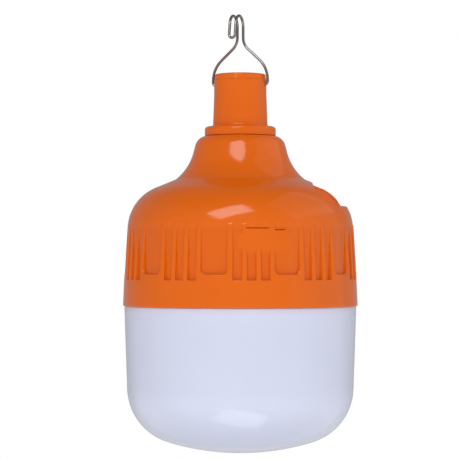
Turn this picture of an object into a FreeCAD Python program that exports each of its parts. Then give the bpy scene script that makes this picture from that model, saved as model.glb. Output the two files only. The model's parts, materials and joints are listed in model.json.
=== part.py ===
"""Rechargeable hanging LED bulb lamp, as separate pieces, one STEP file each.

The lamp hangs from a wire bail whose top is bent over into a hook. Everything is modelled about the
lamp's vertical axis with z = 0 at the lowest point of the diffuser. At the end all pieces are moved so
that the origin is the seat of the hook, which is the point that the lamp hangs from. Millimetres, +Z up.
"""

import FreeCAD, Part
import math
import os

V = FreeCAD.Vector
UP = V(0, 0, 1)
ORIGIN = V(0, 0, 0)

# ---- Upper housing, outside -------------------------------------------------------------------------
BAND_R = 55.05              # radius of the band at its bottom edge
BAND_BOTTOM = 68.7
BAND_MID = V(54.12, 0, 88.5)    # the band leans in a little more towards its top
BAND_TOP = V(53.05, 0, 106.3)
DOME_CENTRE = V(31.9, 0, 104.6)
DOME_R = 21.0
CONE_SLOPE = 22.5           # degrees above level, between the dome and the shoulder
CREASE_R = 30.4             # the soft crease at the foot of the shoulder
SHOULDER_R = 24.0           # hollow curve of the shoulder
SHOULDER_STEEP = 75.5       # its slope where it runs into the rounded top
SHOULDER_END = V(22.0, 0, 140.8)
CROWN_R = 6.0               # rounded top of the shoulder
CROWN_START_Z = 144.0
SHELL = 2.2                 # wall thickness of the upper housing
BAND_INNER_R = DOME_CENTRE.x + DOME_R - SHELL   # bore of the band, behind the recesses

# ---- Recesses around the band -----------------------------------------------------------------------
GROUPS = 10
GROUP_STEP = 360.0 / GROUPS
SLOT_WIDTH = 3.95
SLOT_PITCH = 6.8            # degrees from slot to slot within a group of three
SLOT_CENTRE = 5.1           # degrees, first group's middle slot
PANEL_CENTRE = -13.1        # degrees, first wide panel
PANEL_WIDTH = 12.1
PANEL_CORNER = 2.2
RECESS_FLOOR_R = 52.8
SLOT_BOTTOM = 81.3
PANEL_BOTTOM = 83.8
PAD_ANGLE = 12.0            # blank badge pad that interrupts the recesses
PAD_SIZE = (21.0, 8.4)
PAD_Z = 100.3
PAD_CORNER = 2.4

# ---- Control pocket, facing +X ----------------------------------------------------------------------
POCKET_SHIFT = 2.7          # how far its floor lies inside the dome, measured level
POCKET_WALL_X = 33.7        # its upright top wall
POCKET_LEDGE_Z = 115.2
POCKET_HALF_ANGLE = 37.2
POCKET_HALF_WIDTH = 29.3
POCKET_CORNER = 6.0
POCKET_BACK = 3.2           # level thickness of the wall behind the floor
CONTROL_TILT = 52.0         # elevation of the controls' axes

# ---- Neck, cap and bail -----------------------------------------------------------------------------
COLLAR_R = 16.7
COLLAR_BOTTOM = 148.5
COLLAR_TOP = 152.8
NECK_FOOT_R = 12.8
NECK_HEAD_R = 12.3
NECK_BORE_R = 10.35
NECK_TOP = 174.7
CAP_TOP = 177.5
SPIGOT_R = 14.0
SPIGOT_BOTTOM = 140.0
BAIL_ANGLE = -21.0          # the bail's pivot axis, turned from +X about the lamp's axis
PIVOT_Z = 172.3
WIRE_R = 0.65
PIVOT_CLEARANCE = 0.08
HOOK_R = 5.0                # centreline radius of the hook's bend
HOOK_TOP = 204.5            # centreline height of the hook's bend
HOOK_TILT = 9.0             # the free strands lean outward by this many degrees
HOOK_HALF_GAP = 1.45        # half the distance between the two strands
HOOK_STRAND = 5.2           # straight length of the free strands

# ---- Diffuser ---------------------------------------------------------------------------------------
RIM_R = 54.4
CORNER_CENTRE = V(26.58, 0, 30.56)
CORNER_R = 26.5
DIFFUSER_WALL = 1.8
RIM_TOP = 76.0
RIM_OUTER_R = 50.7
RIM_INNER_R = 48.9

# ---- Light engine, stacked under the housing's bosses -----------------------------------------------
SEAL_HEIGHT = 1.8
PLATE_R = 50.4
PLATE_BOTTOM = RIM_TOP + SEAL_HEIGHT
PLATE_THICK = 1.5
PLATE_TOP = PLATE_BOTTOM + PLATE_THICK
LED_BOARD_R = 45.0
LED_BOARD_THICK = 1.2
CHIP = (3.5, 2.8, 0.8)
CHIP_RINGS = ((10.0, 6), (22.0, 12), (41.0, 24))
BOSS_CIRCLE_R = 33.0
BOSS_R = 3.6
BOSS_ANGLES = (65.0, 180.0, 295.0)
SCREW_R = 1.5
LEAD_HOLE_X = 29.0          # where the LED leads go down through the plate
LEAD_HOLE_R = 2.5

# ---- Battery ----------------------------------------------------------------------------------------
CELL_R = 9.0
CELL_LENGTH = 65.0
CELL_BOTTOM = 101.0
CELL_TOP = CELL_BOTTOM + CELL_LENGTH
WRAP_THICK = 0.2
TAB_THICK = 0.2
TAB_WIDTH = 6.0
TAB_END_Z = 112.0
CRADLE_R = 11.6

# ---- Controls, in their own frame: a across, b up the slope, h outward from the pocket floor ----------
BUTTON_A = -8.5
BUTTON_R = 4.8
BUTTON_GAP = 0.3
FLANGE_R = 5.8
FLANGE_TOP = -4.9
FLANGE_THICK = 0.8
PORT_A = 8.5
PORT_SHELL = (8.94, 3.16)
PORT_SHELL_THICK = 0.3
PORT_TOP = -4.4
COVER_SIZE = (13.0, 8.0)
COVER_GAP = 0.35
COVER_BOTTOM = -2.9
COVER_STUB = (9.0, 3.1, 1.2)
COVER_HINGE_B = 4.5
HINGE_H = -0.95
STRAP_END_B = 7.7
STRAP_WIDTH = 5.0
STRAP_PEG_B = 6.2
STRAP_PEG_R = 0.9
LAMP_PIPE_R = 1.3
LAMP_PIPE_B = 3.6
BOARD_SIZE = (37.0, 16.5)
BOARD_TOP = -10.0
BOARD_BACK = BOARD_TOP - 1.6
BOARD_BOSSES = ((-15.4, 5.7), (15.4, -5.7))
BOARD_BOSS_R = 2.5
BOARD_SCREW_R = 1.0
SWITCH_SIDE = 6.0
SWITCH_HEIGHT = 3.4
PLUNGER_R = 1.7
CONNECTOR_END = BOARD_BACK - 4.5
BATTERY_SOCKET = (-10.5, -3.0)
LED_SOCKET = (10.0, 4.2)
LEAD_R = 0.8


# ---- Helpers ----------------------------------------------------------------------------------------

def on_circle(centre, radius, degrees):
    """The point of a circle in the X-Z plane at an angle from +X towards +Z."""
    angle = math.radians(degrees)
    return centre + V(radius * math.cos(angle), 0, radius * math.sin(angle))


def arc(centre, radius, start, end):
    """An arc in the X-Z plane between two angles in degrees."""
    points = [on_circle(centre, radius, a) for a in (start, (start + end) / 2, end)]
    return Part.Arc(*points).toShape()


def line(start, end):
    return Part.LineSegment(start, end).toShape()


def chain(*points):
    """Straight edges from point to point."""
    return [line(a, b) for a, b in zip(points, points[1:])]


def tangent_angle(centre, radius, point):
    """The angle at which the circle is touched by a line from a point above and outside it."""
    offset = point - centre
    reach = math.degrees(math.acos(radius / offset.Length))
    return math.degrees(math.atan2(offset.z, offset.x)) - reach


def revolve(edges):
    face = Part.Face(Part.Wire(Part.__sortEdges__(edges)))
    return face.revolve(ORIGIN, UP, 360)


def ring(inner, outer, bottom, top):
    """An upright tube, or a disc where inner is 0."""
    body = Part.makeCylinder(outer, top - bottom, V(0, 0, bottom))
    if inner:
        body = body.cut(Part.makeCylinder(inner, top - bottom, V(0, 0, bottom)))
    return body


def turned(shape, degrees):
    """A copy turned about the lamp's axis."""
    copy = shape.copy()
    copy.rotate(ORIGIN, UP, degrees)
    return copy


def rounded_slab(width, height, corner, depth, low_corners_only=False):
    """A slab in the X-Z plane, centred on the origin, its corners rounded, from y = 0 to y = depth."""
    slab = Part.makeBox(width, depth, height, V(-width / 2, 0, -height / 2))
    edges = []
    for edge in slab.Edges:
        upright = abs(edge.tangentAt(edge.FirstParameter).y) > 0.99
        if upright and (edge.CenterOfMass.z < 0 or not low_corners_only):
            edges.append(edge)
    return slab.makeFillet(corner, edges)


def fuse(shapes):
    body = shapes[0].multiFuse(shapes[1:]) if len(shapes) > 1 else shapes[0]
    return body.removeSplitter()


def controls_place():
    """The controls' frame: its X is across the pocket, its Y up the slope, its Z straight out."""
    tilt = math.radians(CONTROL_TILT)
    out = V(math.cos(tilt), 0, math.sin(tilt))
    across = V(0, 1, 0)
    upslope = out.cross(across)
    floor = on_circle(DOME_CENTRE - V(POCKET_SHIFT, 0, 0), DOME_R, CONTROL_TILT)
    matrix = FreeCAD.Matrix(across.x, upslope.x, out.x, floor.x,
                            across.y, upslope.y, out.y, floor.y,
                            across.z, upslope.z, out.z, floor.z,
                            0, 0, 0, 1)
    return FreeCAD.Placement(matrix)


def placed(shape):
    """A copy of a shape drawn in the controls' frame, put where the controls are."""
    copy = shape.copy()
    copy.Placement = controls_place().multiply(copy.Placement)
    return copy


def post(a, b, radius, low, high):
    """An upright cylinder in the controls' frame."""
    return placed(Part.makeCylinder(radius, high - low, V(a, b, low)))


def block(a, b, size_a, size_b, low, high):
    """An upright box in the controls' frame, centred on (a, b)."""
    return placed(Part.makeBox(size_a, size_b, high - low, V(a - size_a / 2, b - size_b / 2, low)))


def oval(a, b, size_a, size_b, low, high):
    """A box with fully rounded ends in the controls' frame."""
    radius = size_b / 2
    half = size_a / 2 - radius
    body = Part.makeBox(2 * half, size_b, high - low, V(a - half, b - radius, low))
    for side in (-half, half):
        body = body.fuse(Part.makeCylinder(radius, high - low, V(a + side, b, low)))
    return placed(body.removeSplitter())


def tube(points, radius):
    """A bent lead: straight runs joined by arcs as large as the runs beside them allow."""
    edges = []
    start = points[0]
    for before, corner, after in zip(points, points[1:], points[2:]):
        into = (corner - before).normalize()
        out = (after - corner).normalize()
        turn = into.getAngle(out)
        trim = 0.45 * min((corner - before).Length, (after - corner).Length)
        bend = trim / math.tan(turn / 2)
        inward = (out - into).normalize()
        centre = corner + inward * (bend / math.cos(turn / 2))
        edges.append(line(start, corner - into * trim))
        edges.append(Part.Arc(corner - into * trim, centre - inward * bend, corner + out * trim).toShape())
        start = corner + out * trim
    edges.append(line(start, points[-1]))
    return pipe(edges, radius)


def pipe(edges, radius):
    """A round bar of a radius along a path of edges."""
    path = Part.Wire(edges)
    first = path.Edges[0]
    circle = Part.makeCircle(radius, first.valueAt(first.FirstParameter), first.tangentAt(first.FirstParameter))
    return path.makePipeShell([Part.Wire([circle])], True, False)


# ---- Upper housing ----------------------------------------------------------------------------------

def shoulder_centre():
    """Centre of the shoulder's hollow curve, outside the lamp."""
    steep = math.radians(SHOULDER_STEEP)
    return SHOULDER_END + V(math.sin(steep), 0, math.cos(steep)) * SHOULDER_R


def housing_outside():
    """The housing's outer form, solid inside."""
    foot = V(BAND_R, 0, BAND_BOTTOM)
    dome_end = 90 - CONE_SLOPE
    dome_low = math.degrees(math.asin((BAND_TOP.z + 0.3 - DOME_CENTRE.z) / DOME_R))
    dome_foot = on_circle(DOME_CENTRE, DOME_R, dome_low)
    dome_head = on_circle(DOME_CENTRE, DOME_R, dome_end)
    hollow = shoulder_centre()
    start = math.degrees(math.acos((CREASE_R - hollow.x) / SHOULDER_R))
    crease = on_circle(hollow, SHOULDER_R, -start)
    steep = math.radians(SHOULDER_STEEP)
    rise = CROWN_START_Z - SHOULDER_END.z
    crown_foot = SHOULDER_END + V(-rise / math.tan(steep), 0, rise)
    crown = crown_foot - V(math.sin(steep), 0, math.cos(steep)) * CROWN_R
    crown_end = math.degrees(math.asin((COLLAR_BOTTOM - 0.05 - crown.z) / CROWN_R))
    crown_head = on_circle(crown, CROWN_R, crown_end)
    top = V(0, 0, COLLAR_BOTTOM)
    edges = [
        line(V(0, 0, BAND_BOTTOM), foot),
        Part.Arc(foot, BAND_MID, BAND_TOP).toShape(),
        line(BAND_TOP, dome_foot),
        arc(DOME_CENTRE, DOME_R, dome_low, dome_end),
        line(dome_head, crease),
        arc(hollow, SHOULDER_R, 360 - start, 270 - SHOULDER_STEEP),
        line(SHOULDER_END, crown_foot),
        arc(crown, CROWN_R, 90 - SHOULDER_STEEP, crown_end),
        line(crown_head, V(crown_head.x, 0, COLLAR_BOTTOM)),
        line(V(crown_head.x, 0, COLLAR_BOTTOM), top),
        line(top, V(0, 0, BAND_BOTTOM)),
    ]
    return revolve(edges)


def housing_cavity():
    """The space inside the housing, open below and through the hole for the neck."""
    inner = DOME_R - SHELL
    dome_end = 90 - CONE_SLOPE
    dome_head = on_circle(DOME_CENTRE, inner, dome_end)
    hollow = shoulder_centre()
    start = math.degrees(math.acos((CREASE_R - hollow.x) / SHOULDER_R))
    crease = on_circle(hollow, SHOULDER_R + SHELL, -start)
    waist = on_circle(hollow, SHOULDER_R + SHELL, 270 - SHOULDER_STEEP)
    roof, chamfer = 3.2, 1.6
    ceiling = COLLAR_BOTTOM - roof
    low = V(0, 0, BAND_BOTTOM - 5)
    edges = chain(low, V(BAND_INNER_R, 0, low.z), V(BAND_INNER_R, 0, DOME_CENTRE.z))
    edges.append(arc(DOME_CENTRE, inner, 0, dome_end))
    edges.append(line(dome_head, crease))
    edges.append(arc(hollow, SHOULDER_R + SHELL, 360 - start, 270 - SHOULDER_STEEP))
    edges += chain(waist, V(waist.x - 1.0, 0, ceiling - chamfer), V(waist.x - 1.0 - chamfer, 0, ceiling),
                   V(SPIGOT_R, 0, ceiling), V(SPIGOT_R, 0, COLLAR_BOTTOM + 5),
                   V(0, 0, COLLAR_BOTTOM + 5), low)
    return revolve(edges)


def dome_body(shift):
    """The dome drawn in by a level distance: its surface is the pocket's floor, or the wall behind it."""
    centre = DOME_CENTRE - V(shift, 0, 0)
    base = BAND_BOTTOM
    edge = V(centre.x + DOME_R, 0, centre.z)
    head = on_circle(centre, DOME_R, 90 - CONE_SLOPE)
    peak = V(0, 0, head.z + head.x * math.tan(math.radians(CONE_SLOPE)))
    edges = chain(V(0, 0, base), V(edge.x, 0, base), edge)
    edges.append(arc(centre, DOME_R, 0, 90 - CONE_SLOPE))
    edges += chain(head, peak, V(0, 0, base))
    return revolve(edges)


def pocket_zone(grow):
    """The pocket's outline as an upright block of air, made larger all round by grow."""
    half = math.radians(POCKET_HALF_ANGLE) + grow / 45.0
    reach = 80.0
    low, high = POCKET_LEDGE_Z - grow, 130.0
    tip = V(0, 0, low - 5)
    side = V(reach * math.cos(half), reach * math.sin(half), low - 5)
    wedge = Part.Face(Part.Wire(chain(tip, V(side.x, -side.y, tip.z), side, tip))).extrude(V(0, 0, 60))
    slab = rounded_slab(2 * (POCKET_HALF_WIDTH + grow), high - low, POCKET_CORNER + grow, reach, True)
    slab.rotate(ORIGIN, UP, -90)
    slab.translate(V(POCKET_WALL_X - grow, 0, (low + high) / 2))
    return wedge.common(slab)


def recess_tool():
    """All the slots and panels of the band as one body of air."""
    cuts = []
    top = BAND_TOP.z + 4
    for k in range(GROUPS):
        for n in (-1, 0, 1):
            slot = Part.makeBox(SLOT_WIDTH, 15, top - SLOT_BOTTOM, V(-SLOT_WIDTH / 2, -BAND_R - 5, SLOT_BOTTOM))
            cuts.append(turned(slot, SLOT_CENTRE + n * SLOT_PITCH + k * GROUP_STEP))
        height = top - PANEL_BOTTOM
        panel = rounded_slab(PANEL_WIDTH, height, PANEL_CORNER, 15, True)
        panel.translate(V(0, -BAND_R - 5, PANEL_BOTTOM + height / 2))
        cuts.append(turned(panel, PANEL_CENTRE + k * GROUP_STEP))
    tool = cuts[0].multiFuse(cuts[1:])
    tool = tool.cut(Part.makeCylinder(RECESS_FLOOR_R, 60, V(0, 0, BAND_BOTTOM)))
    pad = rounded_slab(PAD_SIZE[0], PAD_SIZE[1], PAD_CORNER, 15)
    pad.translate(V(0, -BAND_R - 5, PAD_Z))
    return tool.cut(turned(pad, PAD_ANGLE))


def boss_places():
    return [turned(Part.Vertex(BOSS_CIRCLE_R, 0, 0), a).Point for a in BOSS_ANGLES]


def upper_housing():
    zone = pocket_zone(0)
    backing = pocket_zone(SHELL).cut(dome_body(POCKET_SHIFT + POCKET_BACK))
    cavity = housing_cavity().cut(backing)
    body = housing_outside().cut(zone.cut(dome_body(POCKET_SHIFT)))
    body = body.cut(recess_tool()).cut(cavity)
    inside = [Part.makeCylinder(BOSS_R, 50, p + V(0, 0, PLATE_TOP)) for p in boss_places()]
    inside += [post(a, b, BOARD_BOSS_R, BOARD_TOP, -1.5) for a, b in BOARD_BOSSES]
    inside.append(block(PORT_A, 0.4, 16.4, 14.6, -5.0, -1.0))
    body = body.multiFuse([piece.common(cavity) for piece in inside])
    holes = [Part.makeCylinder(SCREW_R, 12, p + V(0, 0, PLATE_TOP)) for p in boss_places()]
    holes += [post(a, b, BOARD_SCREW_R, BOARD_TOP - 1, BOARD_TOP + 5) for a, b in BOARD_BOSSES]
    holes.append(post(BUTTON_A, 0, BUTTON_R + BUTTON_GAP, -8, 4))
    holes.append(post(0, LAMP_PIPE_B, LAMP_PIPE_R + 0.05, -8, 4))
    holes.append(oval(PORT_A, 0, 10.2, 4.8, -8, 4))
    holes.append(cover_outline(COVER_GAP, COVER_BOTTOM - 0.1, 4))
    holes.append(strap_outline(0.02, COVER_BOTTOM, 4))
    holes.append(post(PORT_A, STRAP_PEG_B, STRAP_PEG_R + 0.02, -8, 0))
    return body.cut(Part.makeCompound(holes)).removeSplitter()


# ---- Neck, cap and bail -----------------------------------------------------------------------------

def pivot_bar(radius):
    """A bar right through the neck on the bail's pivot axis."""
    bar = Part.makeCylinder(radius, 60, V(-30, 0, PIVOT_Z), V(1, 0, 0))
    return turned(bar, BAIL_ANGLE)


def neck():
    """The neck with its collar, and the spigot that is pressed into the housing."""
    edge, foot = 1.5, 1.2
    shoulder = V(COLLAR_R - edge, 0, COLLAR_TOP - edge)
    hollow = V(NECK_FOOT_R + foot, 0, COLLAR_TOP + foot)
    edges = chain(V(NECK_BORE_R, 0, SPIGOT_BOTTOM), V(SPIGOT_R - 0.6, 0, SPIGOT_BOTTOM),
                  V(SPIGOT_R, 0, SPIGOT_BOTTOM + 0.6), V(SPIGOT_R, 0, COLLAR_BOTTOM),
                  V(COLLAR_R, 0, COLLAR_BOTTOM), on_circle(shoulder, edge, 0))
    edges.append(arc(shoulder, edge, 0, 90))
    edges.append(line(on_circle(shoulder, edge, 90), on_circle(hollow, foot, 270)))
    edges.append(arc(hollow, foot, 270, 180))
    edges += chain(on_circle(hollow, foot, 180), V(NECK_HEAD_R, 0, NECK_TOP - 7), V(NECK_HEAD_R, 0, NECK_TOP),
                   V(NECK_BORE_R, 0, NECK_TOP), V(NECK_BORE_R, 0, SPIGOT_BOTTOM))
    return revolve(edges).cut(pivot_bar(WIRE_R + PIVOT_CLEARANCE))


def neck_cap():
    """The disc that closes the neck, with a short skirt inside the bore."""
    edge, skirt = 0.8, 1.2
    rim = V(NECK_HEAD_R - 0.35 - edge, 0, CAP_TOP - edge)
    low = NECK_TOP - skirt
    edges = chain(V(0, 0, NECK_TOP), V(NECK_BORE_R - 1.6, 0, NECK_TOP), V(NECK_BORE_R - 1.6, 0, low),
                  V(NECK_BORE_R - 0.02, 0, low), V(NECK_BORE_R - 0.02, 0, NECK_TOP),
                  V(NECK_HEAD_R - 0.1, 0, NECK_TOP), on_circle(rim, edge, 0))
    edges.append(arc(rim, edge, 0, 90))
    edges += chain(on_circle(rim, edge, 90), V(0, 0, CAP_TOP), V(0, 0, NECK_TOP))
    return revolve(edges)


def bail_side(side):
    """One half of the wire's path, from its end inside the neck to the start of the hook's loop."""
    turn_in, bow, slope, throat = 1.6, 13.0, 48.0, 7.0
    widest = 13.7
    elbow = V(widest - turn_in, 0, PIVOT_Z + turn_in)
    bow_centre = V(widest - bow, 0, elbow.z + 0.7)
    bow_end = on_circle(bow_centre, bow, slope)
    throat_start_x = HOOK_HALF_GAP + throat * (1 - math.cos(math.radians(slope)))
    rise = (bow_end.x - throat_start_x) / math.tan(math.radians(slope))
    throat_start = V(throat_start_x, 0, bow_end.z + rise)
    throat_centre = V(HOOK_HALF_GAP + throat, 0, throat_start.z + throat * math.sin(math.radians(slope)))
    bend = V(HOOK_HALF_GAP, -HOOK_R, HOOK_TOP - HOOK_R)
    tilt = math.radians(HOOK_TILT)
    over = bend + V(0, -HOOK_R * math.cos(tilt), HOOK_R * math.sin(tilt))
    strand = V(0, -math.sin(tilt), -math.cos(tilt)) * HOOK_STRAND
    edges = chain(V(8.4, 0, PIVOT_Z), V(elbow.x, 0, PIVOT_Z))
    edges.append(arc(elbow, turn_in, -90, 0))
    edges.append(line(on_circle(elbow, turn_in, 0), on_circle(bow_centre, bow, 0)))
    edges.append(arc(bow_centre, bow, 0, slope))
    edges.append(line(bow_end, throat_start))
    edges.append(arc(throat_centre, throat, 180 + slope, 180))
    edges.append(line(on_circle(throat_centre, throat, 180), V(HOOK_HALF_GAP, 0, bend.z)))
    edges.append(Part.Arc(V(HOOK_HALF_GAP, 0, bend.z), bend + V(0, 0, HOOK_R), over).toShape())
    edges.append(line(over, over + strand))
    if side < 0:
        return [edge.mirror(ORIGIN, V(1, 0, 0)) for edge in edges]
    return edges


def wire_hook():
    """The bail and its hook, bent from one wire that runs double from the neck of the bail onward."""
    right = bail_side(1)
    end = right[-1].Vertexes[-1].Point
    tilt = math.radians(HOOK_TILT)
    down = V(0, -math.sin(tilt), -math.cos(tilt)) * HOOK_HALF_GAP
    loop = Part.Arc(end, V(0, end.y, end.z) + down, V(-end.x, end.y, end.z)).toShape()
    halves = [pipe(right + [loop], WIRE_R), pipe(bail_side(-1), WIRE_R)]
    return turned(fuse(halves), BAIL_ANGLE)


# ---- Diffuser and light engine ----------------------------------------------------------------------

def diffuser():
    """The frosted cup, with a rim that goes up inside the housing."""
    bottom_r = ((CORNER_CENTRE.Length ** 2 - CORNER_R ** 2) / (2 * (CORNER_CENTRE.z - CORNER_R)))
    bottom_centre = V(0, 0, bottom_r)
    to_corner = CORNER_CENTRE - bottom_centre
    join = math.degrees(math.atan2(to_corner.z, to_corner.x))
    lip = V(RIM_R, 0, BAND_BOTTOM)
    wall = tangent_angle(CORNER_CENTRE, CORNER_R, lip)
    lean = math.tan(math.radians(-wall))
    inner_foot = on_circle(CORNER_CENTRE, CORNER_R - DIFFUSER_WALL, wall)
    gusset_z = BAND_BOTTOM - 5.0
    gusset = V(inner_foot.x + (gusset_z - inner_foot.z) * lean, 0, gusset_z)
    gusset_top = V(RIM_INNER_R, 0, gusset_z + (gusset.x - RIM_INNER_R))
    edges = [
        arc(bottom_centre, bottom_r, -90, join),
        arc(CORNER_CENTRE, CORNER_R, join, wall),
        line(on_circle(CORNER_CENTRE, CORNER_R, wall), lip),
        line(lip, V(RIM_OUTER_R, 0, lip.z)),
        line(V(RIM_OUTER_R, 0, lip.z), V(RIM_OUTER_R, 0, RIM_TOP)),
        line(V(RIM_OUTER_R, 0, RIM_TOP), V(RIM_INNER_R, 0, RIM_TOP)),
        line(V(RIM_INNER_R, 0, RIM_TOP), gusset_top),
        line(gusset_top, gusset),
        line(gusset, inner_foot),
        arc(CORNER_CENTRE, CORNER_R - DIFFUSER_WALL, wall, join),
        arc(bottom_centre, bottom_r - DIFFUSER_WALL, join, -90),
        line(V(0, 0, DIFFUSER_WALL), ORIGIN),
    ]
    return revolve(edges)


def plate_holes(bottom, top):
    """Screw holes, and the hole for the two leads, through the plate and the LED board."""
    holes = [Part.makeCylinder(SCREW_R + 0.1, top - bottom, V(p.x, p.y, bottom)) for p in boss_places()]
    holes.append(Part.makeCylinder(LEAD_HOLE_R, top - bottom, V(LEAD_HOLE_X, 0, bottom)))
    return Part.makeCompound(holes)


def heat_plate():
    return ring(0, PLATE_R, PLATE_BOTTOM, PLATE_TOP).cut(plate_holes(PLATE_BOTTOM, PLATE_TOP))


def led_board():
    bottom = PLATE_BOTTOM - LED_BOARD_THICK
    return ring(0, LED_BOARD_R, bottom, PLATE_BOTTOM).cut(plate_holes(bottom, PLATE_BOTTOM))


def led_chips():
    """LED packages in rings under the board, facing down into the diffuser."""
    length, width, height = CHIP
    low = PLATE_BOTTOM - LED_BOARD_THICK - height
    chips = []
    for radius, count in CHIP_RINGS:
        for k in range(count):
            chip = Part.makeBox(width, length, height, V(radius - width / 2, -length / 2, low))
            chips.append(turned(chip, (k + 0.5) * 360.0 / count))
    return Part.makeCompound(chips)


def pan_screw(radius, head_r, head_h, length):
    """A pan-head screw along +Z, its head below z = 0, with a cross recess."""
    head = Part.makeCylinder(head_r, head_h, V(0, 0, -head_h))
    head = head.makeFillet(head_h * 0.4, [e for e in head.Edges if abs(e.CenterOfMass.z + head_h) < 0.01])
    slot = head_r * 1.1
    for size in ((slot, slot * 0.25), (slot * 0.25, slot)):
        head = head.cut(Part.makeBox(size[0], size[1], head_h * 0.5, V(-size[0] / 2, -size[1] / 2, -head_h)))
    shank = Part.makeCylinder(radius, length - radius)
    tip = Part.makeCone(radius, radius * 0.3, radius, V(0, 0, length - radius))
    return fuse([head, shank, tip])


def plate_screws():
    start = PLATE_BOTTOM - LED_BOARD_THICK
    screws = []
    for place in boss_places():
        screw = pan_screw(SCREW_R, 2.8, 1.6, 12.0)
        screw.translate(V(place.x, place.y, start))
        screws.append(screw)
    return Part.makeCompound(screws)


# ---- Battery ----------------------------------------------------------------------------------------

def battery_cell():
    can = Part.makeCylinder(CELL_R, CELL_LENGTH, V(0, 0, CELL_BOTTOM))
    can = can.makeFillet(0.8, [edge for edge in can.Edges if edge.isClosed()])
    return can.fuse(Part.makeCylinder(3.2, 0.6, V(0, 0, CELL_TOP))).removeSplitter()


def positive_tab():
    """Nickel strip over the cell's top and down its side."""
    top = CELL_TOP + 0.6
    side = CELL_R + WRAP_THICK + 0.2
    over = Part.makeBox(side + 3.0 + TAB_THICK, TAB_WIDTH, TAB_THICK, V(-3.0, -TAB_WIDTH / 2, top))
    down = Part.makeBox(TAB_THICK, TAB_WIDTH, top - TAB_END_Z, V(side, -TAB_WIDTH / 2, TAB_END_Z))
    return fuse([over, down])


def negative_tab():
    return Part.makeBox(17.0, TAB_WIDTH, TAB_THICK, V(-3.5, -TAB_WIDTH / 2, CELL_BOTTOM - TAB_THICK))


def battery_cradle():
    """A cup under the cell on three legs that stand on the heat plate."""
    floor = CELL_BOTTOM - TAB_THICK
    cup = ring(0, CRADLE_R, floor - 2.0, floor + 9.0)
    cup = cup.cut(ring(0, CELL_R + WRAP_THICK + 0.3, floor, floor + 9.0))
    cup = cup.cut(Part.makeBox(CRADLE_R + 1, TAB_WIDTH + 1.2, 9.0, V(0, -TAB_WIDTH / 2 - 0.6, floor)))
    base = ring(5.5, CRADLE_R, PLATE_TOP, PLATE_TOP + 2.0)
    leg = Part.makeCylinder(2.2, floor - 2.0 - PLATE_TOP, V(CRADLE_R - 2.8, 0, PLATE_TOP))
    return fuse([cup, base] + [turned(leg, a) for a in (60, 180, 300)])


def foam_pads():
    """Two split rings that hold the cell in the neck's bore, open where the nickel strip passes."""
    pads = []
    for low in (144.0, 158.0):
        pad = ring(CELL_R + WRAP_THICK + 0.02, NECK_BORE_R - 0.02, low, low + 5.0)
        pads.append(pad.cut(Part.makeBox(20, TAB_WIDTH + 0.8, 5.0, V(0, -TAB_WIDTH / 2 - 0.4, low))))
    return Part.makeCompound(pads)


# ---- Controls ---------------------------------------------------------------------------------------

def under_floor(shape, proud):
    """The part of a shape that lies below the pocket's floor, or stands proud of it by a level distance."""
    return shape.common(dome_body(POCKET_SHIFT - proud))


def button_cap():
    stem = under_floor(post(BUTTON_A, 0, BUTTON_R, FLANGE_TOP, 4), 0.3)
    return fuse([stem, post(BUTTON_A, 0, FLANGE_R, FLANGE_TOP - FLANGE_THICK, FLANGE_TOP)])


def switch_body():
    top = BOARD_TOP + SWITCH_HEIGHT
    body = block(BUTTON_A, 0, SWITCH_SIDE, SWITCH_SIDE, BOARD_TOP, top)
    return body.cut(post(BUTTON_A, 0, PLUNGER_R + 0.08, top - 2.0, top))


def switch_plunger():
    top = BOARD_TOP + SWITCH_HEIGHT
    return post(BUTTON_A, 0, PLUNGER_R, top - 1.2, FLANGE_TOP - FLANGE_THICK - 0.1)


def cover_outline(gap, low, high):
    return oval(PORT_A, 0, COVER_SIZE[0] + 2 * gap, COVER_SIZE[1] + 2 * gap, low, high)


def strap_outline(gap, low, high):
    """The strap's bed, up the slope from the cover, joined to the cover's bed."""
    start, end = COVER_SIZE[1] / 2 - 1.0, STRAP_END_B + gap
    return block(PORT_A, (start + end) / 2, STRAP_WIDTH + 2 * gap, end - start, low, high)


def usb_cover():
    """Soft cover with a stub that fills the port's mouth, and the bead that it bends at."""
    lid = under_floor(cover_outline(0, COVER_BOTTOM, 4), 0.25)
    stub = oval(PORT_A, 0, COVER_STUB[0], COVER_STUB[1], COVER_BOTTOM - COVER_STUB[2], COVER_BOTTOM)
    bridge = block(PORT_A, COVER_HINGE_B - 0.6, STRAP_WIDTH - 0.8, 1.2, HINGE_H - 0.3, HINGE_H + 0.3)
    bead = Part.makeCylinder(0.4, STRAP_WIDTH - 0.8, V(0, 0, 0), V(1, 0, 0))
    bead.translate(V(PORT_A - (STRAP_WIDTH - 0.8) / 2, COVER_HINGE_B, HINGE_H))
    return fuse([lid, stub, bridge, placed(bead)])


def usb_cover_strap():
    """The cover's anchor, let into the floor and held by a peg with a head inside."""
    start = COVER_HINGE_B + 0.45
    pad = block(PORT_A, (start + STRAP_END_B) / 2, STRAP_WIDTH, STRAP_END_B - start, COVER_BOTTOM, 4)
    pad = under_floor(pad, 0.25)
    peg = post(PORT_A, STRAP_PEG_B, STRAP_PEG_R, -5.4, COVER_BOTTOM + 0.5)
    return fuse([pad, peg, post(PORT_A, STRAP_PEG_B, STRAP_PEG_R + 0.7, -6.2, -5.3)])


def usb_shell():
    """Upright metal shell of the charging socket, open at the top."""
    width, depth = PORT_SHELL
    thick = PORT_SHELL_THICK
    outer = oval(PORT_A, 0, width, depth, BOARD_TOP, PORT_TOP)
    return outer.cut(oval(PORT_A, 0, width - 2 * thick, depth - 2 * thick, BOARD_TOP, PORT_TOP))


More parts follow.
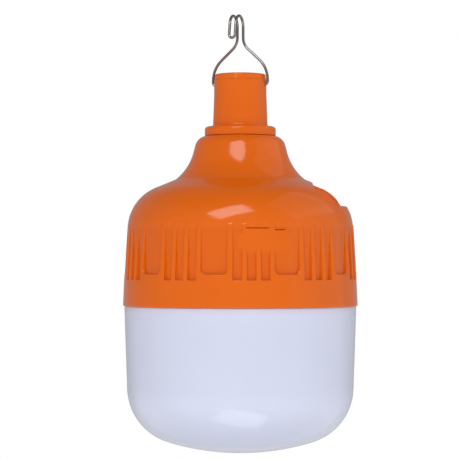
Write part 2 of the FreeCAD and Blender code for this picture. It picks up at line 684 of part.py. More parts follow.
def usb_insert():
    """The moulded base and contact tongue inside the shell."""
    width, depth = PORT_SHELL
    play = 2 * PORT_SHELL_THICK
    base = oval(PORT_A, 0, width - play, depth - play, BOARD_TOP, BOARD_TOP + 1.2)
    return fuse([base, block(PORT_A, 0, 6.6, 0.7, BOARD_TOP + 1.0, PORT_TOP - 0.8)])


def light_pipe():
    """Clear rod that brings the charge indicator's light to the pocket's floor."""
    rod = under_floor(post(0, LAMP_PIPE_B, LAMP_PIPE_R, BOARD_TOP + 1.0, 4), 0.2)
    return fuse([rod, post(0, LAMP_PIPE_B, LAMP_PIPE_R + 0.7, -5.9, -5.1)])


def indicator_led():
    return block(0, LAMP_PIPE_B, 2.0, 1.3, BOARD_TOP, BOARD_TOP + 0.8)


def control_board():
    board = block(0, 0, BOARD_SIZE[0], BOARD_SIZE[1], BOARD_BACK, BOARD_TOP)
    holes = [post(a, b, BOARD_SCREW_R + 0.1, BOARD_BACK, BOARD_TOP) for a, b in BOARD_BOSSES]
    return board.cut(Part.makeCompound(holes))


def board_screws():
    screws = []
    for a, b in BOARD_BOSSES:
        screw = pan_screw(BOARD_SCREW_R, 1.9, 1.2, 5.5)
        screw.translate(V(a, b, BOARD_BACK))
        screws.append(placed(screw))
    return Part.makeCompound(screws)


def driver_chip():
    """Eight-lead package on the back of the board."""
    body = block(-3.0, -3.6, 4.9, 3.9, BOARD_BACK - 1.6, BOARD_BACK - 0.15)
    leads = []
    for k in range(4):
        a = -3.0 + (k - 1.5) * 1.27
        leads.append(block(a, -3.6, 0.42, 6.0, BOARD_BACK - 0.25, BOARD_BACK))
    return fuse([body] + leads)


def inductor():
    core = block(6.0, -2.6, 6.0, 6.0, BOARD_BACK - 2.8, BOARD_BACK)
    upright = [e for e in core.Edges if abs(e.Length - 2.8) < 0.01]
    return core.makeFillet(1.0, upright)


def capacitors():
    return Part.makeCompound([post(a, b, 2.0, BOARD_BACK - 5.4, BOARD_BACK) for a, b in ((-3.2, 4.0), (1.6, 4.4))])


def resistors():
    places = [(a, -7.2) for a in (-8.0, -5.6, 0.4, 2.8, 10.6)]
    return Part.makeCompound([block(a, b, 1.6, 0.8, BOARD_BACK - 0.5, BOARD_BACK) for a, b in places])


def connector(a, b):
    """Two-pin wire socket on the back of the board, its two wire ways open."""
    body = block(a, b, 6.0, 4.4, CONNECTOR_END, BOARD_BACK)
    ways = [post(a + side, b, LEAD_R + 0.02, CONNECTOR_END, CONNECTOR_END + 2) for side in (-1.25, 1.25)]
    return body.cut(Part.makeCompound(ways))


def lead_from(place, side, *points):
    """A lead out of one way of a connector and on through points in the lamp's own frame."""
    a, b = place[0] + side * 1.25, place[1]
    seat = controls_place().multVec(V(a, b, CONNECTOR_END + 2))
    clear = controls_place().multVec(V(a, b, CONNECTOR_END - 5))
    return tube([seat, clear] + [V(*p) for p in points], LEAD_R)


def battery_lead_red():
    end = CELL_R + WRAP_THICK + 0.2 + TAB_THICK + LEAD_R
    return lead_from(BATTERY_SOCKET, -1, (21.0, -8.0, 103.5), (end, 0, 104.8), (end, 0, TAB_END_Z + 6))


def battery_lead_black():
    z = CELL_BOTTOM + LEAD_R
    return lead_from(BATTERY_SOCKET, 1, (25.0, -3.5, 99.5), (17.0, 0, z), (12.8, 0, z))


def led_lead_red():
    return lead_from(LED_SOCKET, -1, (25.0, 5.5, 95.0), (LEAD_HOLE_X - 1.1, 0, 87.0), (LEAD_HOLE_X - 1.1, 0, 76.2))


def led_lead_black():
    return lead_from(LED_SOCKET, 1, (28.5, 7.5, 95.0), (LEAD_HOLE_X + 1.1, 0, 87.0), (LEAD_HOLE_X + 1.1, 0, 76.2))


# ---- All the pieces ---------------------------------------------------------------------------------

def pieces():
    return {
        "upper_housing": upper_housing(),
        "neck": neck(),
        "neck_cap": neck_cap(),
        "wire_hook": wire_hook(),
        "diffuser": diffuser(),
        "diffuser_seal": ring(RIM_INNER_R + 0.2, RIM_OUTER_R - 0.1, RIM_TOP, PLATE_BOTTOM),
        "heat_plate": heat_plate(),
        "led_board": led_board(),
        "led_chips": led_chips(),
        "plate_screws": plate_screws(),
        "battery_cell": battery_cell(),
        "battery_wrap": ring(CELL_R, CELL_R + WRAP_THICK, CELL_BOTTOM + 0.8, CELL_TOP - 0.8),
        "positive_tab": positive_tab(),
        "negative_tab": negative_tab(),
        "battery_cradle": battery_cradle(),
        "foam_pads": foam_pads(),
        "button_cap": button_cap(),
        "switch_body": switch_body(),
        "switch_plunger": switch_plunger(),
        "usb_cover": usb_cover(),
        "usb_cover_strap": usb_cover_strap(),
        "usb_shell": usb_shell(),
        "usb_insert": usb_insert(),
        "light_pipe": light_pipe(),
        "indicator_led": indicator_led(),
        "control_board": control_board(),
        "board_screws": board_screws(),
        "driver_chip": driver_chip(),
        "inductor": inductor(),
        "capacitors": capacitors(),
        "resistors": resistors(),
        "battery_socket": connector(*BATTERY_SOCKET),
        "led_socket": connector(*LED_SOCKET),
        "battery_lead_red": battery_lead_red(),
        "battery_lead_black": battery_lead_black(),
        "led_lead_red": led_lead_red(),
        "led_lead_black": led_lead_black(),
    }


def hook_seat():
    """The inside of the hook's bend at its top, where it rests on what it hangs from."""
    seat = V(0, -HOOK_R, HOOK_TOP - WIRE_R)
    return turned(Part.Vertex(seat), BAIL_ANGLE).Point


def main():
    os.makedirs("parts", exist_ok=True)
    seat = hook_seat()
    for name, shape in pieces().items():
        shape.translate(seat * -1)
        shape.exportStep(f"parts/{name}.step")
        print(f"{name:20} solids {len(shape.Solids):3}  valid {shape.isValid()}  volume {shape.Volume:10.1f}")
    controls = controls_place()
    hinge = controls.multVec(V(PORT_A, COVER_HINGE_B, HINGE_H)) - seat
    print("hook seat in the lamp's frame", seat)
    print("bail pivot", V(0, 0, PIVOT_Z) - seat, turned(Part.Vertex(1, 0, 0), BAIL_ANGLE).Point)
    print("button way in", controls.Rotation.multVec(V(0, 0, -1)))
    print("cover hinge", hinge, controls.Rotation.multVec(V(1, 0, 0)))


main()
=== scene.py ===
"""A rechargeable hanging LED bulb lamp: finished surfaces on the CAD frame, lights, floor and camera.

Shapes are drawn in millimetres about the lamp's axis, with z = 0 at the lowest point of the diffuser,
and moved to where the CAD nodes are. Angles round the axis are in degrees from the front (-Y) towards
the control pocket (+X).
"""

import bpy
import json
import math
import numpy as np
from mathutils import Matrix, Vector
from mathutils.geometry import delaunay_2d_cdt


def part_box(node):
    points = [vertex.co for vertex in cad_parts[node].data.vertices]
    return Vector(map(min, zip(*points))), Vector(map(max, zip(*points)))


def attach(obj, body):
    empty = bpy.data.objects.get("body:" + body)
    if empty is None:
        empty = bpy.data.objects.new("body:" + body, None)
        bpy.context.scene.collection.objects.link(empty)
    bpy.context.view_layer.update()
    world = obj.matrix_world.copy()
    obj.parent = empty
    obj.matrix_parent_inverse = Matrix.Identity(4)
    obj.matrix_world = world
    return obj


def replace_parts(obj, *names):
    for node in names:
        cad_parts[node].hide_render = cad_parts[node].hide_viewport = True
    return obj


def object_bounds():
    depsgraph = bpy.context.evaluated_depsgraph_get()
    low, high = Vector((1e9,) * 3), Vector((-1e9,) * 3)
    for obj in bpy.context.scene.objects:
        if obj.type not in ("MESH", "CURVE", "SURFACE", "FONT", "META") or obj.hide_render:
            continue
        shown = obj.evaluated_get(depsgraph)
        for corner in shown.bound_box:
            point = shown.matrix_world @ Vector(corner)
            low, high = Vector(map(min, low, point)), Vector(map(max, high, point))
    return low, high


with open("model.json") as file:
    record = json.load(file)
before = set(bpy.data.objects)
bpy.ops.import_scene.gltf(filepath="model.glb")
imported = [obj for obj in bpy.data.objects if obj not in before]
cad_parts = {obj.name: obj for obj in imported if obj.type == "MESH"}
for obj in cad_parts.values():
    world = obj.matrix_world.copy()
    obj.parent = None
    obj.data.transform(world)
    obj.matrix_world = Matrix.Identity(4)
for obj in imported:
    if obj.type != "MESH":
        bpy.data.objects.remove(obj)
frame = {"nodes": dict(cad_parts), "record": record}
cad_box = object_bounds()

MM = 0.001
SLOT_OF = {part["node"]: part["material_slot"] for part in frame["record"]["subparts"]}
LOW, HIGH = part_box("diffuser")
AXIS = np.array([(LOW.x + HIGH.x) / 2, (LOW.y + HIGH.y) / 2, LOW.z])
PIECES = []                 # every new piece with its material slot
POLE_R = 0.2                # a turned piece closes with a flat face of this radius on the axis

# ---- Upper housing ----
BAND_BOTTOM = 68.7
BAND_FOOT = (55.05, BAND_BOTTOM)
BAND_MID = (54.12, 88.5)
BAND_TOP = (53.05, 106.3)
BAND_BORE = 50.7
LIP = 0.4                   # rounding of the band's lower edge
PLAIN_Z = 73.7              # the band is plain up to here
DOME = (31.9, 104.6)
DOME_R = 21.0
CONE_SLOPE = 22.5
CREASE_R = 30.4
HOLLOW_R = 24.0
HOLLOW_STEEP = 75.5
HOLLOW_END = (22.0, 140.8)
CROWN_R = 6.0
CROWN_START_Z = 144.0
EASE = math.radians(20.5)   # least rise of the shoulder's normals, which keeps its highlight in one piece
EASE_SPAN = 0.03
EASE_Z = (131.0, 147.0)
COLLAR_BOTTOM = 148.5
SPIGOT_R = 14.0

# ---- Recesses of the band ----
BAND_MEAN_R = 54.0
GROUP_STEP = 36.0
SLOT_CENTRE = 5.1
SLOT_PITCH = 6.8
SLOT_HALF = 1.975
SLOT_BOTTOM = 81.3
PANEL_CENTRE = -13.1
PANEL_HALF = 6.05
PANEL_CORNER = 2.2
PANEL_BOTTOM = 83.8
RECESS_FLOOR_R = 52.8
PAD_ANGLE = 12.0
PAD_HALF = (10.5, 4.2)
PAD_Z = 100.3
PAD_CORNER = 2.4
PAD_STEP = 0.25             # the recesses end abruptly above the pad
PAD_RAMP = 4.0              # and run out gently below and beside it
GROOVES = ((8.0, 5.2, 104.6), (19.3, 2.4, 103.8))  # along the pad's top: degrees, half length, height
GROOVE_HALF = 0.25
GROOVE_FLOOR_R = 52.1
GROOVE_EDGE = 0.3
EDGE = 0.6                  # rounding of the recesses' edges
WALL_STEEP = 14.0           # draft of their walls: in by 1 for this much down

# ---- Rows and columns of the housing's mesh ----
STEP_OUT = (1.0, 0.62, 0.29, 0.08, 0.0)         # across a recess's rounded edge, as fractions of EDGE
STEP_IN = (0.03, 0.16, 0.32)                    # down its wall and onto its floor, in mm
QUARTER = (0, 22.5, 45, 67.5, 90)               # round any other rounded edge, in degrees
GROOVE_STOPS = (-0.15, 0.0, 0.06, 0.14, GROOVE_EDGE)
PANEL_STOPS = (0.6, 0.95, 1.3, 1.7, 2.2)        # in the corners of a panel, and of the pad
PAD_STOPS = (0.65, 1.0, 1.4, 1.9, 2.4)
BAND_ROWS = (70.0, 72.5, 75.5, 78.5, 82.4, 87.5, 90.0, 92.5, 94.8, 99.2, 101.4, 105.4, 106.0)
BASE_STEP = 2.5             # degrees between the columns above the band
COARSE_PITCH = (1.1, 1.6, 1.2, 1.0, 0.7, 2.0)   # stretch by stretch, from the dome up
GAP = 0.02                  # rows and columns closer than this become one
NEAR = 0.3                  # from a corner of the profile to the rows beside it
PER_DEGREE = BAND_MEAN_R * math.radians(1)
SIDES = (-1, 1)

# ---- Control pocket ----
POCKET_SHIFT = 2.7
POCKET_WALL_X = 33.7
POCKET_LEDGE_Z = 115.2
POCKET_HALF_ANGLE = 37.2
POCKET_HALF_WIDTH = 29.3
POCKET_CORNER = 6.0
TILT = math.radians(52.0)
OUT = np.array([math.cos(TILT), 0.0, math.sin(TILT)])
UPSLOPE = np.array([-math.sin(TILT), 0.0, math.cos(TILT)])
BUTTON = (-8.5, 0.0, 5.1)   # across, up the slope, radius of its hole
PORT_ACROSS = 8.5
BED_OVAL = (13.7, 8.7)
BED_STRAP = (5.04, 7.72)    # width, and how far up the slope it reaches
BED_DEPTH = -3.0
BUTTON_HOLE = -4.6          # where the button's hole ends, just above the cap's flange
PORT_OVAL = (10.2, 4.8)
PORT_WALL = 2.0             # how far the port's opening goes on below the bed
POCKET_EDGE = 0.45          # roundings of its outline and of the foot of its walls
POCKET_FOOT = 0.3
HOLE_EDGE = 0.12
POCKET_REACH = 42.5         # its own mesh goes this many degrees either side of its middle,
POCKET_MARGIN = 3.0         # and this far below its ledge
# The point of the floor that the controls are measured from, and its places along OUT and UPSLOPE
ORIGIN = np.array([DOME[0] - POCKET_SHIFT, 0, DOME[1]]) + DOME_R * OUT
ORIGIN_OUT, ORIGIN_UP = float(ORIGIN @ OUT), float(ORIGIN @ UPSLOPE)


# ---- Small helpers ----

def unit(v):
    """Vectors scaled to length 1 along the last axis."""
    v = np.asarray(v, float)
    return v / np.maximum(np.linalg.norm(v, axis=-1, keepdims=True), 1e-12)


def placed(name, data):
    """A new object in the scene."""
    obj = bpy.data.objects.new(name, data)
    bpy.context.scene.collection.objects.link(obj)
    return obj


def at(centre, radius, degrees):
    """A point of a circle in the (radius, height) plane."""
    angle = math.radians(degrees)
    return (centre[0] + radius * math.cos(angle), centre[1] + radius * math.sin(angle))


HEAD = at(DOME, DOME_R, 90 - CONE_SLOPE)  # where the dome meets the cone


def straight(p, q):
    """A straight stretch of a profile: its length, and its points by distance along it."""
    p, q = np.array(p, float), np.array(q, float)
    length = float(np.linalg.norm(q - p))
    return length, lambda t: p + (q - p) * (np.asarray(t)[..., None] / length)


def runs(*points):
    """Straight stretches from point to point."""
    return [straight(p, q) for p, q in zip(points, points[1:])]


def bend(centre, radius, start, end):
    """A stretch of a circle between two angles in degrees, in the same form."""
    centre = np.array(centre, float)
    a, b = math.radians(start), math.radians(end)
    length = radius * abs(b - a)

    def points(t):
        angle = a + (b - a) * np.asarray(t) / length
        return centre + radius * np.stack([np.cos(angle), np.sin(angle)], -1)
    return length, points


def circle_through(p, q, r):
    """Centre and radius of the circle through three points."""
    p, q, r = np.array(p), np.array(q), np.array(r)
    centre = np.linalg.solve(2 * np.array([q - p, r - p]), (q @ q - p @ p, r @ r - p @ p))
    return centre, float(np.linalg.norm(p - centre))


class Profile:
    """A chain of stretches, read by the distance from its start."""

    def __init__(self, stretches):
        self.stretches = stretches
        self.starts = np.concatenate([[0.0], np.cumsum([length for length, _ in stretches])])

    def at(self, s):
        s = np.clip(np.asarray(s, float), 0, self.starts[-1])
        out = np.zeros(s.shape + (2,))
        for k, (length, points) in enumerate(self.stretches):
            here = (s >= self.starts[k]) & (s <= self.starts[k + 1])
            out[here] = points(np.clip(s[here] - self.starts[k], 0, length))
        return out


class Skin:
    """Points, faces and a normal for each corner of each face, gathered into one mesh."""

    def __init__(self):
        self.points, self.faces, self.normals = [], [], []

    def add(self, points):
        points = np.asarray(points, float)
        start = len(self.points)
        self.points.extend(points.reshape(-1, 3).tolist())
        return np.arange(start, len(self.points)).reshape(points.shape[:-1])

    def face(self, corners, normals):
        self.faces.append([int(c) for c in corners])
        self.normals.extend(normals)

    def strip(self, low, high, low_normals, high_normals):
        """Quads between two closed rows. Seen from low to high, the outside is on the rows' right."""
        for j in range(len(low)):
            k = (j + 1) % len(low)
            self.face((low[j], low[k], high[k], high[j]),
                      (low_normals[j], low_normals[k], high_normals[k], high_normals[j]))

    def build(self, name, body, slot):
        mesh = bpy.data.meshes.new(name)
        mesh.from_pydata((np.array(self.points) * MM + AXIS).tolist(), [], self.faces)
        mesh.shade_smooth()
        mesh.normals_split_custom_set([tuple(n) for n in self.normals])
        obj = placed(name, mesh)
        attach(obj, body)
        PIECES.append((obj, slot))
        return obj


def turn(radius, degrees, z):
    """Points at a radius and height, turned round the lamp's axis from the front."""
    angle = np.radians(degrees)
    return np.stack(np.broadcast_arrays(radius * np.sin(angle), -radius * np.cos(angle), z), -1)


def lathe(name, body, slot, stretches, segments, step):
    """A turned piece. Every stretch keeps its own normals, so corners stay crisp and bends stay smooth."""
    skin, nudge = Skin(), 1e-3
    angles = np.arange(segments) * 360.0 / segments
    row = None
    for length, points in stretches:
        count = max(1, math.ceil(length / step(points(np.array(length / 2))) - 1e-6))
        stops = np.linspace(0, length, count + 1)
        profile = points(stops)
        profile[:, 0] = np.maximum(profile[:, 0], POLE_R)
        ahead = points(np.minimum(stops + nudge, length)) - points(np.maximum(stops - nudge, 0))
        facing = unit(np.stack([ahead[:, 1], -ahead[:, 0]], -1))
        for k, (r, z) in enumerate(profile):
            here = skin.add(turn(r, angles, z)) if row is None or k else row
            normals = turn(facing[k, 0], angles, facing[k, 1])
            if k:
                skin.strip(row, here, before, normals)
            row, before = here, normals
            if r <= POLE_R:
                up = 1 if facing[k, 1] > 0 else -1
                skin.face(here[::up], [(0, 0, up)] * segments)
    return skin.build(name, body, slot)


# ---- The band's recesses ----

def box_distance(du, dz):
    """Distance outside a box with these distances outside its sides; negative inside."""
    return np.hypot(np.maximum(du, 0), np.maximum(dz, 0)) + np.minimum(np.maximum(du, dz), 0)


def across(theta, centre, period):
    """Distance round the band from the nearest of the places that repeat with a period in degrees."""
    return BAND_MEAN_R * np.radians(np.abs((theta - centre + period / 2) % period - period / 2))


def recess_distance(theta, z):
    """How far a point of the band lies outside the recesses, in mm; negative inside one."""
    best = np.full(np.broadcast(theta, z).shape, np.inf)
    for n in (-1, 0, 1):
        du = across(theta, SLOT_CENTRE + n * SLOT_PITCH, GROUP_STEP) - SLOT_HALF
        best = np.minimum(best, box_distance(du, SLOT_BOTTOM - z))
    du = across(theta, PANEL_CENTRE, GROUP_STEP) - PANEL_HALF + PANEL_CORNER
    return np.minimum(best, box_distance(du, PANEL_BOTTOM + PANEL_CORNER - z) - PANEL_CORNER)


def groove_distance(theta, z):
    """The same for the two grooves along the badge pad's top edge."""
    return np.minimum(*[box_distance(across(theta, angle, 360.0) - half, np.abs(z - height) - GROOVE_HALF)
                        for angle, half, height in GROOVES])


def pad_fade(theta, z):
    """How deep a recess is beside the pad, as a part of its depth: abrupt above the pad, a ramp elsewhere."""
    du = across(theta, PAD_ANGLE, 360.0) - PAD_HALF[0] + PAD_CORNER
    pad = box_distance(du, np.abs(z - PAD_Z) - PAD_HALF[1] + PAD_CORNER) - PAD_CORNER
    rise = np.clip(pad / np.where(z > PAD_Z + PAD_HALF[1] / 2, PAD_STEP, PAD_RAMP), 0, 1)
    return rise * rise * (3 - 2 * rise)


def carved(radius, distance, floor, edge):
    """The radius where a recess with a rounded edge and this floor is cut into the band."""
    rounded = edge - np.sqrt(np.maximum(edge**2 - np.clip(edge - distance, 0, edge)**2, 0))
    drop = np.where(distance > 0, rounded, edge - distance * WALL_STEEP)
    return np.minimum(radius, np.maximum(floor, radius - drop))


def housing_point(profile, theta, s, fade):
    """A point of the housing's outside. The fade is how deep the recesses are there, from 0 to 1."""
    radius, z = np.moveaxis(profile.at(s), -1, 0)
    floor = radius - np.maximum(radius - RECESS_FLOOR_R, 0) * fade
    cut = carved(radius, recess_distance(theta, z), floor, EDGE)
    cut = np.minimum(cut, carved(radius, groove_distance(theta, z), GROOVE_FLOOR_R, GROOVE_EDGE))
    return turn(np.where(z > PLAIN_Z, cut, radius), theta, z)


def spread(values, gap):
    """Sorted values without any that lie closer than gap to the one before."""
    kept = []
    for value in sorted(values):
        if not kept or value - kept[-1] > gap:
            kept.append(value)
    return kept


def edge_stops(place, inward):
    """Places across a recess's edge; inward is +1 where the recess lies at larger values."""
    return [place - inward * EDGE * f for f in STEP_OUT] + [place + inward * f for f in STEP_IN]


# ---- The control pocket ----

def outer_z(r):
    """Height of the housing's outside at a radius, from the dome inward to the shoulder."""
    dome = DOME[1] + np.sqrt(np.maximum(DOME_R**2 - (np.maximum(r, DOME[0]) - DOME[0])**2, 0))
    cone = HEAD[1] + (HEAD[0] - r) * math.tan(math.radians(CONE_SLOPE))
    return np.where(r > HEAD[0], dome, cone)


def outer_normal(points, shift=0.0):
    """Outward normal of the dome and cone, or of the same surface drawn in by shift."""
    r = np.hypot(points[..., 0], points[..., 1])
    level = (np.maximum(r + shift, HEAD[0]) - DOME[0]) / DOME_R
    rise = (np.where(r + shift > HEAD[0], points[..., 2], HEAD[1]) - DOME[1]) / DOME_R
    flat = points[..., :2] / r[..., None] * level[..., None]
    return unit(np.concatenate([flat, rise[..., None]], -1))


def pocket_loop(shift):
    """The pocket's outline where its walls meet the outside (shift 0) or the floor (shift of the floor)."""
    half = math.radians(POCKET_HALF_ANGLE)

    def radius_at(z):
        return DOME[0] + math.sqrt(DOME_R**2 - (z - DOME[1])**2) - shift

    def corner(a):
        return flat_half + POCKET_CORNER * math.sin(a), POCKET_LEDGE_Z + POCKET_CORNER * (1 - math.cos(a))

    flat_half = POCKET_HALF_WIDTH - POCKET_CORNER
    long_count, corner_count, side_count = 24, 16, 14
    end, back = math.radians(90), math.radians(0.05)
    while corner(end)[0] > radius_at(corner(end)[1]) * math.sin(half):
        end -= back
    front = [(y, POCKET_LEDGE_Z) for y in np.linspace(0, flat_half, long_count)[:-1]]
    front += [corner(a) for a in np.linspace(0, end, corner_count)]
    points = [(math.sqrt(radius_at(z)**2 - y**2), y, z) for y, z in front]
    corner_r = math.hypot(points[-1][0], points[-1][1])
    for r in np.linspace(corner_r, POCKET_WALL_X / math.cos(half), side_count)[1:]:
        points.append((r * math.cos(half), r * math.sin(half), float(outer_z(r + shift))))
    for y in np.linspace(POCKET_WALL_X * math.tan(half), 0, long_count)[1:]:
        points.append((POCKET_WALL_X, y, float(outer_z(math.hypot(POCKET_WALL_X, y) + shift))))
    return np.array(points + [(x, -y, z) for x, y, z in points[-2:0:-1]])


def controls_plane(points):
    """Places across and up the slope, as seen looking straight at the pocket."""
    return np.stack([points[..., 1], points @ UPSLOPE], -1)


def in_plane(flat):
    """The same places as steps in space."""
    return np.outer(flat[:, 0], (0, 1, 0)) + np.outer(flat[:, 1], UPSLOPE)


def lift(flat):
    """Points of the pocket's floor over places in the controls' plane, found by halving."""
    base = in_plane(flat - (0, ORIGIN_UP)) + ORIGIN
    reach, halvings = 15.0, 50
    low, high = np.full(len(flat), -reach), np.full(len(flat), reach)
    for _ in range(halvings):
        mid = (low + high) / 2
        p = base + mid[:, None] * OUT
        outside = p[:, 2] > outer_z(np.hypot(p[:, 0], p[:, 1]) + POCKET_SHIFT)
        high = np.where(outside, mid, high)
        low = np.where(outside, low, mid)
    return base + ((low + high) / 2)[:, None] * OUT


def headings(loop):
    """Which way a closed loop runs at each of its points."""
    return unit(np.roll(loop, -1, 0) - np.roll(loop, 1, 0))


def inside(point, loop):
    """Whether a flat point lies inside a closed loop."""
    x, y = point
    a, b = loop, np.roll(loop, -1, 0)
    crosses = (a[:, 1] > y) != (b[:, 1] > y)
    where = a[:, 0] + (y - a[:, 1]) / np.where(crosses, b[:, 1] - a[:, 1], 1) * (b[:, 0] - a[:, 0])
    return bool(np.count_nonzero(crosses & (x < where)) % 2)


def fill(skin, outer, holes, spare, normals_of, clearance):
    """Triangles between a loop and its holes, through spare points kept clear of every loop.
    Loops are (indices, flat places)."""
    loops = [outer] + holes
    index, flat, edges = [], [], []
    for loop_index, loop_flat in loops:
        start, count = len(index), len(loop_index)
        index.extend(loop_index)
        flat.extend(loop_flat)
        edges.extend((start + k, start + (k + 1) % count) for k in range(count))
    rims = np.array(flat)

    def between(place):
        return sum(inside(place, loop) for _, loop in loops) == 1
    for place, point in spare:
        if np.min(np.linalg.norm(rims - place, axis=1)) >= clearance and between(place):
            index.append(int(skin.add(point[None])[0]))
            flat.append(place)
    found = delaunay_2d_cdt([Vector(f) for f in flat], edges, [], 0, 1e-9)
    source = [ids[0] for ids in found[3]]
    for triangle in found[2]:
        corners = [source[v] for v in triangle]
        if between(np.mean([flat[c] for c in corners], 0)):
            where = [index[c] for c in corners]
            points = np.array([skin.points[w] for w in where])
            if np.cross(points[1] - points[0], points[2] - points[0]) @ OUT < 0:
                where, points = where[::-1], points[::-1]
            skin.face(where, normals_of(points))


def ring_round(a, b, size):
    """A loop in the controls' plane: a circle, or an oval of width and height, round (a, b)."""
    width, height = size
    radius = height / 2
    places = []
    for side in (1, -1):
        middle = (a + side * (width / 2 - radius), b)
        places += [at(middle, radius, t if side > 0 else t + 180) for t in np.linspace(-90, 90, 28)]
    places = np.array(places)
    return places[np.linalg.norm(places - np.roll(places, 1, 0), axis=1) > 1e-6]


def bed_loop():
    """Outline of the cover's and its strap's bed."""
    oval = ring_round(PORT_ACROSS, 0, BED_OVAL)
    half, top, clear = BED_STRAP[0] / 2, BED_OVAL[1] / 2, 0.2
    oval = oval[~((np.abs(oval[:, 0] - PORT_ACROSS) < half + clear) & (oval[:, 1] > 0))]
    split = int(np.argmax(np.abs(np.diff(oval[:, 0])) * (oval[:-1, 1] > 0)))
    tab = [(half, top), (half, BED_STRAP[1]), (-half, BED_STRAP[1]), (-half, top)]
    return np.concatenate([oval[:split + 1], np.array(tab) + (PORT_ACROSS, 0), oval[split + 1:]])


def sink(skin, rim_flat, depth):
    """A straight-walled hole below the floor with a softened rim.
    Gives the rim loop for the floor and the loop at the bottom."""
    along = headings(rim_flat)
    outward = np.stack([along[:, 1], -along[:, 0]], -1)
    wide_flat = rim_flat + outward * HOLE_EDGE
    rim = lift(wide_flat)
    edge = lift(rim_flat) - OUT * HOLE_EDGE
    bottom = edge + np.outer(depth + ORIGIN_OUT - edge @ OUT, OUT)
    facing = -in_plane(outward)
    rows = [skin.add(p) for p in (rim, edge, bottom)]
    skin.strip(rows[1], rows[0], facing, outer_normal(rim, POCKET_SHIFT))
    skin.strip(rows[2], rows[1], facing, facing)
    return (rows[0], wide_flat), (rows[2], controls_plane(bottom))


def pocket(skin, border, spare):
    """The pocket and the piece of dome round it, inside a border loop of the housing's grid."""
    top, foot = pocket_loop(0.0), pocket_loop(POCKET_SHIFT)
    down, along = unit(foot - top), headings(top)
    outside_n, floor_n = outer_normal(top), outer_normal(foot, POCKET_SHIFT)
    out_along, wall_n = unit(np.cross(along, outside_n)), unit(np.cross(along, down))
    in_along = -unit(np.cross(headings(foot), floor_n))
    rows, normals = [], []
    for a in np.radians(QUARTER):
        across_edge, over_edge = POCKET_EDGE * (1 - math.sin(a)), POCKET_EDGE * (1 - math.cos(a))
        rows.append(top + out_along * across_edge + down * over_edge)
        normals.append(unit(outside_n * math.cos(a) + wall_n * math.sin(a)))
    for a in np.radians((0, 30, 60, 90)):
        up_wall, onto_floor = POCKET_FOOT * (1 - math.sin(a)), POCKET_FOOT * (1 - math.cos(a))
        rows.append(foot - down * up_wall + in_along * onto_floor)
        normals.append(unit(wall_n * math.cos(a) + floor_n * math.sin(a)))
    ids = [skin.add(row) for row in rows]
    for k in range(len(rows) - 1):
        skin.strip(ids[k], ids[k + 1], normals[k], normals[k + 1])
    flat_top, flat_foot = controls_plane(rows[0]), controls_plane(rows[-1])
    fill(skin, border, [(ids[0], flat_top)], spare, outer_normal, clearance=0.7)
    base = (0, ORIGIN_UP)
    button_rim, _ = sink(skin, ring_round(*BUTTON[:2], (2 * BUTTON[2],) * 2) + base, BUTTON_HOLE)
    bed_rim, bed_floor = sink(skin, bed_loop() + base, BED_DEPTH)
    floor_spare, columns = [], np.arange(-30, 30, 1.3)
    for b in np.arange(-16, 16, 1.1):
        places = np.array([(a, b) for a in columns]) + base
        floor_spare.extend(zip(places, lift(places)))
    fill(skin, (ids[-1], flat_foot), [button_rim, bed_rim], floor_spare,
         lambda p: outer_normal(p, POCKET_SHIFT), clearance=0.6)
    port_flat = ring_round(PORT_ACROSS, 0, PORT_OVAL) + base
    port_top = in_plane(port_flat) + (ORIGIN_OUT + BED_DEPTH) * OUT
    port_rows = [skin.add(port_top), skin.add(port_top - PORT_WALL * OUT)]
    along = headings(port_flat)
    facing = in_plane(np.stack([-along[:, 1], along[:, 0]], -1))
    skin.strip(port_rows[1], port_rows[0], facing, facing)
    fill(skin, bed_floor, [(port_rows[0], port_flat)], [], lambda p: [OUT] * len(p), clearance=0.3)


# ---- The housing's outside ----

def eased(points, normals):
    """Normals that run smoothly over the shoulder's steep part, from its hollow to its rounded top."""
    level = np.hypot(normals[..., 0], normals[..., 1])
    rise = EASE_SPAN * np.logaddexp(normals[..., 2] / EASE_SPAN, math.sin(EASE) / EASE_SPAN)
    flat = normals[..., :2] * (np.sqrt(np.maximum(1 - rise**2, 0)) / np.maximum(level, 1e-9))[..., None]
    lifted = unit(np.concatenate([flat, rise[..., None]], -1))
    steep = (points[..., 2] > EASE_Z[0]) & (points[..., 2] < EASE_Z[1])
    return np.where(steep[..., None], lifted, normals)


